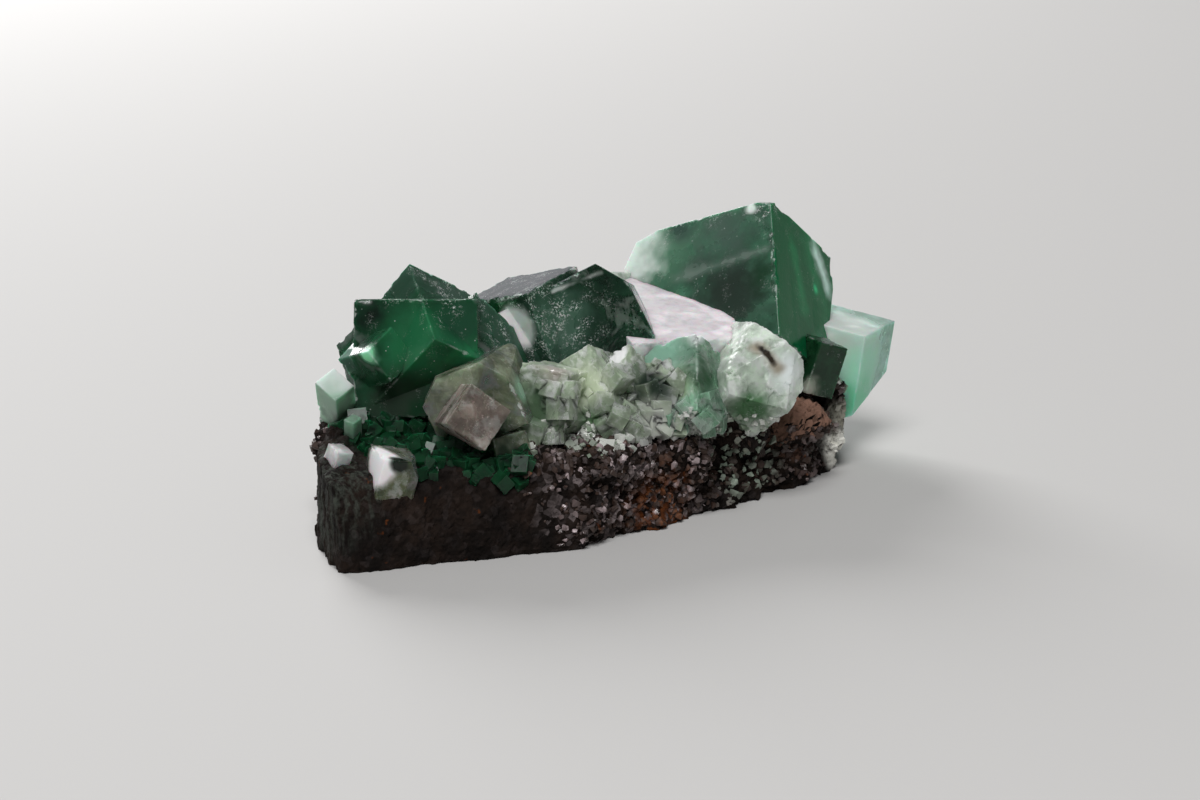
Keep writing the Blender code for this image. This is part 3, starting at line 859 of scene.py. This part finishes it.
KINDS = {
    "emerald": fluorite(
        "emerald_clear", (0.025, 0.15, 0.07), EMERALD, 460.0, milk=0.30, dust=0.35, specks=0.9,
        cloudy=0.4, marks=[
        # brighter emerald on the twin's front: its green, with painted light shining through
        mark((-12.8, -2.6, 14.3), 2.6, 1.8, (0.030, 0.24, 0.10), 0.62),
        mark((-9.4, -4.4, 13.6), 1.3, 1.0, (0.035, 0.30, 0.12), 0.60),
        # pale aqua patch: painted highlight
        mark((-16.7, -2.2, 13.8), 0.7, 0.5, (0.36, 0.80, 0.52), 0.88),
        mark((-17.3, 1.0, 12.8), 1.6, 0.6, (0.05, 0.12, 0.085), 0.97),
        # near-black upper corner: painted shade, for dark surroundings seen through the crystal
        mark((-14.8, 0.5, 16.2), 1.1, 1.1, (0.004, 0.016, 0.009), 0.65),
        # darker green low on the twin: painted shade towards its foot
        mark((-13.7, -2.0, 9.6), 2.4, 1.6, (0.028, 0.060, 0.034), 0.65),
        mark((-12.4, -3.3, 9.0), 1.0, 0.7, (0.004, 0.070, 0.022), 0.5),
        mark((-9.2, -3.6, 15.4), 1.6, 1.2, (0.022, 0.12, 0.060), 0.60),
        mark((-10.4, -2.4, 16.3), 1.3, 0.8, FROST, 0.8, grit=True),
        mark((-11.6, -3.2, 14.0), 0.8, 0.8, FROST, 0.7, grit=True),
        mark((-9.8, 2.0, 17.8), 2.6, 0.8, (0.022, 0.085, 0.048), 0.75),
        mark((-6.0, 0.4, 15.8), 3.0, 1.0, (0.07, 0.14, 0.10), 0.7, toward=TWIN_SLOPE),
        mark((-7.6, 1.2, 16.8), 2.6, 1.0, FROST, 0.8, grit=True, toward=TWIN_SLOPE),
        mark((-4.3, -1.2, 12.9), 2.4, 1.6, (0.045, 0.13, 0.08), 0.65),
        mark((-5.4, -1.0, 13.8), 1.8, 1.2, FROST, 0.8, grit=True),
        mark((-10.3, 1.9, 18.8), 0.05, 0.16, FROST, 0.6, grit=True, end=(-11.3, -1.0, 17.1)),
        mark((-15.6, 1.6, 17.0), 0.25, 0.5, FROST, 0.95, grit=True, end=(-11.2, -1.0, 17.0)),
    ]),
    "emerald_core": fluorite(
        "emerald_core", (0.025, 0.24, 0.10), EMERALD, 260.0, milk=0.55, dust=0.2, specks=0.5,
        gloss=0.2),
    "large": fluorite(
        "large_green", (0.075, 0.20, 0.125), EMERALD, 420.0, milk=0.72, dust=0.3, specks=0.8,
        veil=0.1, cloudy=0.25, marks=[
        mark((14.4, 4.2, 16.4), 2.4, 2.6, (0.16, 0.33, 0.22), 0.80),
        # white on the left edge: frost, and partly a painted highlight
        mark((12.4, 6.2, 16.2), 2.6, 2.2, (0.76, 0.84, 0.79), 0.96),
        mark((15.4, 2.8, 18.4), 0.8, 1.2, (0.07, 0.13, 0.105), 0.7),
        mark((16.4, -3.6, 14.0), 3.0, 2.2, (0.040, 0.065, 0.050), 0.65, toward=LARGE_LEFT),
        mark((17.4, -0.8, 18.2), 1.6, 2.6, (0.11, 0.185, 0.145), 0.72, toward=LARGE_LEFT),
        mark((18.6, -5.2, 15.0), 1.2, 1.6, (0.010, 0.095, 0.034), 0.6, toward=LARGE_LEFT),
        mark((13.9, 0.9, 14.9), 0.05, 0.7, (0.26, 0.33, 0.29), 0.8,
             end=(18.1, -4.8, 17.8), toward=LARGE_LEFT),
        mark((14.6, 4.6, 18.2), 0.1, 0.8, FROST, 0.95, grit=True, end=(19.6, -3.0, 20.8)),
        # white patch at the apex: painted glint
        mark((18.8, -2.0, 20.5), 0.35, 0.3, FROST, 0.95),
        mark((22.0, -4.0, 15.0), 9.0, 2.0, (0.003, 0.15, 0.050), 0.80, toward=LARGE_RIGHT),
        mark((21.2, -5.4, 12.6), 0.1, 1.4, (0.010, 0.32, 0.11), 0.8, end=(22.2, -3.8, 17.2),
             toward=LARGE_RIGHT),
        mark((24.6, -2.9, 11.6), 0.2, 1.8, (0.012, 0.28, 0.10), 0.8, end=(24.8, -1.9, 16.8),
             toward=LARGE_RIGHT),
        mark((24.4, -3.3, 13.4), 0.15, 0.5, (0.05, 0.75, 0.32), 0.85),
        mark((25.2, -2.7, 11.8), 0.15, 0.4, (0.05, 0.70, 0.30), 0.85),
        # pale cyan stripe on the right: painted highlight
        mark((26.2, -1.4, 15.8), 0.45, 1.1, (0.70, 0.93, 0.84), 0.96, end=(26.9, -1.8, 13.2)),
        mark((19.7, -3.2, 20.6), 1.2, 0.8, FROST, 0.9, grit=True),
        mark((14.4, 4.8, 18.6), 1.6, 1.2, FROST, 0.9, grit=True),
    ]),
    "aqua": fluorite(
        "aqua_milky", (0.42, 0.84, 0.62), (0.2, 0.8, 0.6), 180.0, milk=0.85, dust=0.3, specks=0.3,
        settled=0.45, cloudy=0.3, marks=[
        # pale grey-green upper part: its milky colour, and partly a painted sheen
        mark((25.4, -5.0, 10.2), 3.0, 1.8, (0.66, 0.76, 0.70), 0.9),
        mark((27.3, -6.8, 7.2), 2.0, 1.6, (0.46, 0.88, 0.66), 0.9),
        mark((26.9, -6.8, 4.6), 1.4, 1.4, (0.20, 0.74, 0.44), 0.85),
        # white streak across the top: painted highlight
        mark((24.1, -5.0, 9.9), 0.1, 0.5, (0.90, 0.95, 0.92), 0.97, end=(26.9, -5.4, 10.5)),
    ]),
    "dark": fluorite(
        "dark_green", (0.018, 0.070, 0.038), EMERALD, 800.0, milk=0.40, dust=0.4, specks=0.9, marks=[
        mark((0.2, -2.4, 13.6), 2.4, 2.0, (0.085, 0.18, 0.125), 0.75),
        mark((1.0, -2.8, 14.2), 2.8, 1.6, FROST, 0.8, grit=True),
        # white left corner: frost, and partly a painted highlight
        mark((-2.2, 0.0, 13.3), 1.7, 0.6, (0.84, 0.88, 0.85), 0.96),
        mark((-1.6, -0.5, 13.3), 2.8, 0.8, (0.90, 0.92, 0.90), 0.97, grit=True),
        mark((-0.6, -1.4, 13.0), 1.2, 1.2, FROST, 0.9, grit=True),
        mark((-2.5, 0.7, 14.7), 0.10, 0.2, FROST, 0.9, end=(3.6, -3.2, 17.5)),
        # grey on the top face: dust, and partly a painted sheen
        mark((0.0, 2.0, 16.0), 6.5, 1.0, (0.060, 0.064, 0.070), 0.95, toward=DUST_AND_SHEEN_TOP),
        mark((0.0, 2.0, 16.0), 6.5, 1.0, (0.34, 0.34, 0.36), 0.95, grit=True, toward=DUST_AND_SHEEN_TOP),
    ]),
    "right_dark": fluorite(
        "right_dark_green", (0.014, 0.070, 0.028), EMERALD, 700.0, milk=0.6, dust=0.2, specks=0.4,
        cloudy=0.2,
        marks=[mark((18.9, -9.6, 7.2), 1.0, 0.6, (0.36, 0.38, 0.32), 0.85)]),
    # pale pink with dust settled on top: frosted and dusty, and partly a painted reflection of the lamp
    # on the top face
    "saddle": fluorite(
        "pale_pink_and_glare", (0.74, 0.69, 0.71), (0.6, 0.7, 0.65), 200.0, milk=0.95, dust=0.6,
        specks=0.1, settled=0.85, cloudy=0.2, dust_colour=(0.90, 0.84, 0.88)),
    "frost": fluorite(
        "frosted_pale", (0.60, 0.70, 0.59), (0.35, 0.8, 0.6), 200.0, milk=0.88, dust=0.5,
        specks=0.4, veil=0.3, gloss=0.15, cloudy=0.3, mottle=0.7, spread=EVEN, marks=[
        mark((10.2, -13.3, 8.0), 1.5, 0.9, (0.085, 0.22, 0.09), 0.8),
        mark((12.9, -14.2, 10.8), 1.2, 1.2, (0.82, 0.88, 0.87), 0.96),
        mark((11.1, -12.9, 12.6), 0.35, 0.6, (0.42, 0.37, 0.28), 0.85, end=(12.1, -14.3, 11.0)),
        mark((11.1, -12.8, 13.0), 0.32, 0.14, (0.012, 0.010, 0.007), 0.97, end=(11.3, -13.8, 12.4)),
        mark((11.3, -13.8, 12.4), 0.24, 0.14, (0.03, 0.022, 0.014), 0.97, end=(11.8, -14.4, 11.4)),
    ]),
    "row": fluorite(
        "pale_row", (0.38, 0.46, 0.34), (0.4, 0.8, 0.5), 260.0, milk=0.75, dust=0.5, specks=0.4,
        veil=0.3, gloss=0.12, cloudy=0.5, mottle=0.75, spread=EVEN, marks=[
        mark((-6.6, -9.6, 9.8), 1.4, 1.4, (0.10, 0.17, 0.095), 0.75),
        mark((-5.0, -9.8, 12.6), 1.0, 1.0, (0.46, 0.42, 0.38), 0.85),
        mark((-2.2, -9.6, 10.8), 1.4, 1.4, (0.64, 0.72, 0.54), 0.9),
        mark((-2.8, -11.0, 8.2), 0.9, 1.0, (0.15, 0.28, 0.14), 0.7),
        # white face: painted highlight of the lamp
        mark((0.9, -8.3, 12.4), 1.5, 0.25, (0.97, 0.97, 0.97), 0.99, toward=GLARE_FACE),
        # dark patch: painted shade of a hollow between the crystals
        mark((2.6, -11.1, 10.0), 1.4, 0.6, (0.030, 0.055, 0.036), 0.7),
        mark((2.0, -12.2, 7.9), 1.6, 0.8, (0.56, 0.60, 0.52), 0.92),
    ]),
    "blade": fluorite(
        "green_blade", (0.26, 0.46, 0.32), (0.15, 0.75, 0.45), 300.0, milk=0.70, dust=0.4,
        specks=0.4, veil=0.3, gloss=0.10, cloudy=0.5, mottle=0.4, spread=EVEN, marks=[
        mark((5.4, -8.9, 12.2), 1.6, 1.4, (0.34, 0.60, 0.46), 0.8),
        mark((4.9, -11.6, 10.2), 1.0, 1.2, (0.42, 0.56, 0.36), 0.8),
        # darker green: painted shade of the side turned from the light
        mark((6.6, -12.2, 10.6), 1.2, 0.9, (0.035, 0.12, 0.055), 0.6),
        mark((7.4, -10.4, 13.5), 0.7, 0.4, (0.66, 0.72, 0.70), 0.92),
        mark((6.4, -12.8, 7.6), 1.2, 0.7, (0.40, 0.46, 0.38), 0.85),
    ]),
    "clear": fluorite(
        "clear_grey", (0.30, 0.34, 0.23), (0.30, 0.75, 0.52), 160.0, milk=0.55, dust=0.4,
        specks=0.6, veil=0.2, mottle=0.25, marks=[
        mark((-7.6, -8.8, 11.2), 0.9, 0.8, (0.42, 0.70, 0.50), 0.75),
        # near-black green low down: painted shade where the crystal meets the rock
        mark((-10.2, -9.6, 7.0), 1.6, 1.4, (0.010, 0.035, 0.012), 0.55),
    ]),
    "foot": fluorite(
        "foot_green", (0.005, 0.060, 0.020), EMERALD, 600.0, milk=0.62, dust=0.1, specks=0.3,
        gloss=0.15, cloudy=0.1),
    "brown": fluorite(
        "dusty_brown", (0.25, 0.205, 0.175), (0.5, 0.5, 0.42), 250.0, milk=0.85, dust=0.8,
        specks=0.2, dust_colour=(0.46, 0.40, 0.36), frayed=0.9, cloudy=0.4, mottle=0.25),
    "low_white": fluorite(
        "low_clear", (0.16, 0.19, 0.10), (0.6, 0.75, 0.4), 300.0, milk=0.45, dust=0.5,
        specks=0.4, gloss=0.12, veil=0.3, mottle=0.5, marks=[
        # white face: frost, and partly a painted highlight of the lamp
        mark((-20.0, -8.4, 7.7), 1.9, 0.4, (0.92, 0.88, 0.90), 0.97),
        mark((-18.5, -9.6, 7.5), 0.7, 0.3, (0.020, 0.032, 0.020), 0.5),
    ]),
    "left_pale": fluorite(
        "left_pale_green", (0.30, 0.50, 0.36), (0.4, 0.8, 0.5), 200.0, milk=0.75, dust=0.4,
        specks=0.3, gloss=0.14, cloudy=0.4, marks=[
        # pale top face: painted light
        mark((-18.3, 0.4, 11.6), 1.9, 0.4, (0.62, 0.69, 0.65), 0.95, toward=LIT_TOP),
        mark((-18.6, -0.4, 10.0), 1.2, 0.6, (0.30, 0.46, 0.35), 0.88),
        mark((-18.0, -1.0, 8.0), 1.0, 0.8, (0.035, 0.050, 0.030), 0.7),
    ]),
    "small_white": fluorite(
        "small_white_frost", (0.93, 0.94, 0.93), (0.6, 0.85, 0.5), 160.0, milk=0.95, dust=0.5,
        specks=0.2, gloss=0.18),
}

# crystals: name, look, node of the solids, how the mesh is made, and blocks in the design frame.
# Not as in the solids: the second block of middle_dark_crystal is shorter and set back, the second
# block of back_left_crystal is turned another way, and large_back_crystal has corners cut off. The
# growth steps are thin and random here, and the solids have eight thicker ones in set places. The
# lens crystal, the small cubes and the grains are only here.
PLAN = [
    ("emerald_twin", "emerald", "left_emerald_twin", dict(seed=10), [
        Block((-9.9, 1.5, 11.7), (-105, 0, -35), (9.2, 8.8, 9.0)),
        Block((-10.1, 1.0, 11.9), (-134, 48, 126), (9.2, 7.0, 8.6)),
        Block((-5.5, 0.3, 11.2), (-42, 44, -6), (7.2, 5.0, 6.0)),
        Block((-14.9, -0.6, 12.9), (158, -28, 17), (3.0, 4.0, 3.0))]),
    ("large_back_crystal", "large", "large_back_cube", dict(seed=11, steps=12, rise=0.009, wear=0.20), [
        Block((18.9, 0.5, 11.4), (-54, 19, 124), (13.2, 12.0, 11.5), [
            ((6.6, -5.0, 5.75), (0.29, -1.00, 0.42)), ((6.6, -3.2, 5.75), (0.62, -0.36, 0.48)),
            ((-5.2, -6.0, 5.75), (-0.62, -1.60, 1.00)),
            ((-6.6, -3.2, -5.75), (-2.80, 1.00, -2.80))])]),
    ("right_aqua_crystal", "aqua", "right_aqua_cube", dict(seed=12, wear=0.15, reach=0.35), [
        Block((26.8, -2.5, 7.0), (-89, -8, 118), (7.5, 7.5, 6.3),
              [((-1.9, 3.4, 1.6), (-0.5, 0.9, -0.35))])]),
    ("middle_dark_crystal", "dark", "middle_dark_cube", dict(seed=13, rise=0.014, rough=0.012), [
        Block((3.4, -0.6, 12.6), (73, -27, -32), (10.2, 7.4, 6.5),
              [((3.5, 3.7, 0.0), (0.83, 0.55, 0.0))]),
        Block((0.8, 2.2, 12.8), (-168, -16, -80), (8.2, 6.0, 6.5))]),
    ("low_white_crystal", "low_white", "low_white_cube",
     dict(seed=15, steps=5, wear=0.18, reach=0.3, cell=0.16), [
        Block((-18.3, -7.8, 5.8), (95, 14, -12), (3.0, 4.2, 3.4),
              [((1.1, 1.7, 1.2), (1.0, 0.7, 0.5))])]),
    ("left_pale_crystal", "left_pale", "left_pale_cube",
     dict(seed=16, steps=5, wear=0.18, reach=0.3, cell=0.16), [
        Block((-17.4, 1.0, 9.2), (-31, 27, -178), (1.9, 2.3, 6.0))]),
    ("broken_crystal", "frost", "broken_frosted_crystal",
     dict(seed=17, steps=7, rise=0.03, wear=0.45, reach=0.5, rough=0.10, cell=0.16), [
        Block((12.1, -10.9, 9.4), (73, 44, -28), (5.9, 6.7, 7.0), [
            ((2.7, 2.4, 0.0), (0.74, 0.67, 0.1)), ((-2.7, -2.4, 0.0), (-0.74, -0.67, 0.15)),
            ((0.9, -1.9, 2.9), (0.35, -0.7, 0.6)), ((-2.1, 1.2, 2.9), (-0.75, 0.3, 0.6)),
            ((1.6, 1.8, 3.2), (0.5, 0.3, 0.8))])]),
    ("green_blade_crystal", "blade", "front_green_blades",
     dict(seed=18, steps=8, rise=0.03, wear=0.4, reach=0.5, rough=0.05, cell=0.16), [
        Block((6.0, -10.1, 9.4), (-49, 22, 121), (5.2, 6.8, 3.5)),
        Block((6.6, -11.8, 7.2), (100, -15, -57), (1.8, 2.4, 1.8))]),
    ("front_row_crystals", "row", "front_crystal_row",
     dict(seed=19, steps=6, rise=0.025, wear=0.4, reach=0.5, rough=0.06, cell=0.16), [
        Block((-4.7, -8.4, 9.9), (79, 8, -58), (3.8, 5.0, 4.5)),
        Block((-0.7, -9.0, 9.7), (-62, 34, 128), (3.2, 6.5, 3.5)),
        Block((1.7, -9.1, 10.5), (-40, 30, 111), (3.4, 3.2, 3.6)),
        Block((4.0, -9.6, 9.4), (44, -23, 1), (3.0, 3.0, 3.0)),
        Block((3.2, -11.6, 8.0), (60, 19, -19), (1.8, 1.8, 1.8)),
        Block((1.6, -11.4, 7.9), (92, -9, 0), (1.9, 1.9, 1.9)),
        Block((0.4, -11.4, 7.7), (106, -52, -48), (1.5, 1.5, 1.5))]),
    ("front_clear_crystal", "clear", "front_clear_cube",
     dict(seed=20, steps=6, wear=0.2, reach=0.35, cell=0.18), [
        Block((-9.2, -5.8, 10.1), (88, -24, -46), (7.0, 5.6, 5.0),
              [((-3.0, 2.3, 0.0), (-0.7, 0.8, 0.2)), ((3.0, 2.2, 0.0), (0.8, 0.7, 0.2))]),
        Block((-9.3, -9.2, 7.0), (79, -5, -2), (3.0, 2.4, 2.8))]),
    ("front_dusty_crystal", "brown", "front_clear_cube",
     dict(seed=21, steps=5, wear=0.2, reach=0.35, rough=0.02, cell=0.16), [
        Block((-11.7, -8.6, 9.7), (72, 36, -31), (3.6, 3.5, 4.5))]),
    ("right_dark_crystal", "right_dark", "right_dark_cube",
     dict(seed=22, steps=5, wear=0.2, reach=0.35, cell=0.16), [
        Block((21.0, -7.9, 8.6), (93, 18, -8), (2.6, 4.2, 3.2))]),
    ("pale_saddle", "saddle", "pale_saddle_crystal",
     dict(seed=23, steps=12, rise=0.02, wear=0.3, reach=0.5, rough=0.03), [
        Block((10.6, -0.8, 10.2), (8, 2, -15), (10.0, 15.0, 6.8))]),
    ("small_white", "small_white", "small_white_crystal",
     dict(seed=24, steps=4, wear=0.12, reach=0.25, cell=0.14), [
        Block((-21.0, -5.0, 7.2), (108, 10, 4), (1.4, 1.9, 1.6))]),
    ("back_left_crystal", "right_dark", "back_left_twin", dict(seed=25, steps=6, wear=0.2, cell=0.2), [
        Block((-5.6, 7.4, 8.6), (24, 18, 30), (4.6, 4.6, 4.6)),
        Block((-5.6, 7.4, 8.6), (64, 52, 84), (4.0, 4.0, 4.0))]),
    ("back_right_crystal", "frost", "back_right_cube",
     dict(seed=26, steps=8, wear=0.3, reach=0.5, cell=0.2), [
        Block((10.0, 6.4, 11.0), (-14, 12, 20), (6.6, 6.0, 7.0))]),
]
BLOCKS = {entry[0]: entry[-1] for entry in PLAN}
CORE_INSET = 0.25        # how far the green core lies below the faces of the twin
MATRIX_SEED = 71
CUBES_SEED = 57
SHAPES = 30              # different shapes of the grains and of the fine crystals
GRAIN_CORNERS = 11
GRAIN_TRIES = 12000      # spots tried, of which some are kept
DRUSE_TRIES = 9000
FOOT_TRIES = 12000
FOOT_CUBES = 260         # the most dark green cubes
LENS = [Block((-17.9, -2.1, 8.0), (12, -14, 18), (1.1, 0.9, 2.6))]


def build_crystals():
    """Every crystal with its material. Returns the crystals by name."""
    made = {}
    for name, look, node, options, blocks in PLAN:
        made[name] = crystal(name, blocks, **options)
        add(made[name], KINDS[look], [node])
    core = [BLOCKS["emerald_twin"][1].shrunk(CORE_INSET)]
    add(crystal("emerald_twin_core", core, seed=30, steps=6, wear=0.2), KINDS["emerald_core"])
    return made


def grain_spots(rock, rng, blocks):
    """Where the coarse grains lie: all over the rock but its smooth parts."""
    places = surface_spots(rock, rng, GRAIN_TRIES)
    design = places - np.array(SHIFT)
    x, y, z = design.T
    from_ledge = np.linalg.norm(design - np.array(LEDGE), axis=1)
    from_white = np.linalg.norm(design - np.array(WHITE_ENDS[1][0]), axis=1)
    keep = (z > 0.5) & ~inside_any(places, blocks, -0.1) & ((from_ledge > 3.2) | (z < 4.8))
    ragged = 4.0 * value_noise(places, 1.4, 77)
    keep &= (x + 0.5 * z + ragged > -6.5) | ((y > 0.0) & (x > -19.0))
    keep &= from_white > 1.6
    return [(p, 0.25 + 0.70 * rng.random() ** 1.6) for p in places[keep]]


def druse_spots(crystals, rock, rng, blocks):
    """Where the fine crystals lie: at the feet of the front crystals and on the rock there."""
    spots = []
    for source, count, highest in (("front_row_crystals", 6000, 9.2),
                                   ("green_blade_crystal", 2400, 9.0), ("broken_crystal", 1200, 7.4)):
        places = surface_spots(crystals[source], rng, count)
        low = places[:, 2] < highest - 1.4 * np.array([rng.random() for _ in places])
        spots += [(p, rng.uniform(0.15, 0.42)) for p in places[low & (places[:, 1] < -8.0)]]
    places = surface_spots(rock, rng, DRUSE_TRIES)
    x, y, z = (places - np.array(SHIFT)).T
    front = (z > 6.7) & (x > -5.0) & (x < 9.0) & (y < -9.0)
    foot = (z > 5.5) & (x > -8.0) & inside_any(places, blocks, -0.4)
    keep = (front | foot) & ~inside_any(places, blocks, 0.2)
    return spots + [(p, rng.uniform(0.2, 0.65)) for p in places[keep]]


def build_matrix(crystals):
    """The rock, its grains and the fine crystals at the crystals' feet."""
    rock = build_rock()
    rng = random.Random(MATRIX_SEED)
    blocks = [block for own in BLOCKS.values() for block in own]
    spots = grain_spots(rock, rng, blocks)
    grains = scatter("matrix_grains", hull_templates(rng, SHAPES, GRAIN_CORNERS), spots, rng)
    spots = druse_spots(crystals, rock, rng, blocks)
    druse = scatter("small_crystals", cube_templates(rng, SHAPES), spots, rng)
    add(rock, rock_material(), ["matrix_rock"])
    add(grains, grain_material())
    add(druse, druse_material())
    return rock


def build_small_cubes(crystals, rock):
    """Small cubes grown on the front crystals, and dark green ones below the emerald twin."""
    rng = random.Random(CUBES_SEED)
    cubes = cube_templates(rng, 12)
    for name, source, look, node, count, top in (
            ("row_cubes", "front_row_crystals", "row", "front_crystal_row", 260, 11.6),
            ("blade_cubes", "green_blade_crystal", "blade", "front_green_blades", 110, 9.4)):
        places = surface_spots(crystals[source], rng, count)
        y, z = places[:, 1], places[:, 2]
        keep = (y < -7.6) & (z > 7.0) & (z < top)
        spots = [(p, rng.uniform(0.5, 1.9)) for p in places[keep]]
        add(scatter(name, cubes, spots, rng, BLOCKS[source]), KINDS[look])

    places = surface_spots(rock, rng, FOOT_TRIES)
    x, y, z = (places - np.array(SHIFT)).T
    keep = (x > -18.2) & (x < -8.5) & (y < 0.5) & (z > 6.4 - 0.18 * (x + 18.0))
    keep &= ~inside_any(places, BLOCKS["low_white_crystal"], -0.3)
    spots = [(p, rng.uniform(0.4, 1.3)) for p in places[keep][:FOOT_CUBES]]
    add(scatter("foot_green_cubes", cubes, spots, rng), KINDS["foot"])
    add(crystal("lens_crystal", LENS, seed=41, steps=2, wear=0.12, reach=0.25, cell=0.14),
        KINDS["left_pale"])


FLOOR_SIZE = 6.0
FLOOR_COLOUR = (0.56, 0.55, 0.54, 1.0)
MIDDLE = Vector((0.0, 0.0, 0.010))
LAMPS = [   # name, direction, distance and size in metres, power in watts
    ("back", (0.15, 0.88, 0.45), 0.60, 0.35, 3.0),
    ("front", (-0.45, -0.50, 1.00), 0.90, 0.45, 6.2),
]
SKY_COLOUR = (0.86, 0.88, 0.90, 1.0)
SKY_STRENGTH = 0.14
CAMERA_PLACE = Vector((-138.5, -206.0, 73.8)) + SHIFT
CAMERA_TARGET = Vector((0.0, -8.2, 9.1)) + SHIFT
FOCAL_LENGTH = 100.0
SENSOR = 36.0


def aim(obj, place, rotation):
    obj.location = place
    obj.rotation_mode = "QUATERNION"
    obj.rotation_quaternion = rotation


def build_floor():
    bpy.ops.mesh.primitive_plane_add(size=FLOOR_SIZE)
    floor = bpy.context.object
    floor.name = "floor"
    n = Nodes("floor")
    n.fill(n.shader, {"Base Color": FLOOR_COLOUR, "Roughness": 0.8})
    floor.data.materials.append(n.material)


def build_lights():
    """Two soft lamps and pale surroundings."""
    for name, direction, distance, size, power in LAMPS:
        data = bpy.data.lights.new(name, "AREA")
        data.shape = "DISK"
        data.size = size
        data.energy = power
        away = Vector(direction).normalized()
        aim(link(name, data), MIDDLE + away * distance, away.to_track_quat("Z", "Y"))
    world = bpy.data.worlds.new("surroundings")
    bpy.context.scene.world = world
    world.use_nodes = True
    background = world.node_tree.nodes["Background"]
    background.inputs["Color"].default_value = SKY_COLOUR
    background.inputs["Strength"].default_value = SKY_STRENGTH


def build_camera():
    """The camera at the photograph's angle."""
    data = bpy.data.cameras.new("camera")
    data.lens = FOCAL_LENGTH
    data.sensor_width = SENSOR
    data.clip_start = 0.01
    camera = link("camera", data)
    aim(camera, CAMERA_PLACE * MM, (CAMERA_TARGET - CAMERA_PLACE).to_track_quat("-Z", "Y"))
    bpy.context.scene.camera = camera


crystals = build_crystals()
rock = build_matrix(crystals)
build_small_cubes(crystals, rock)
build_floor()
build_lights()
build_camera()
bpy.context.scene.view_settings.view_transform = "Standard"
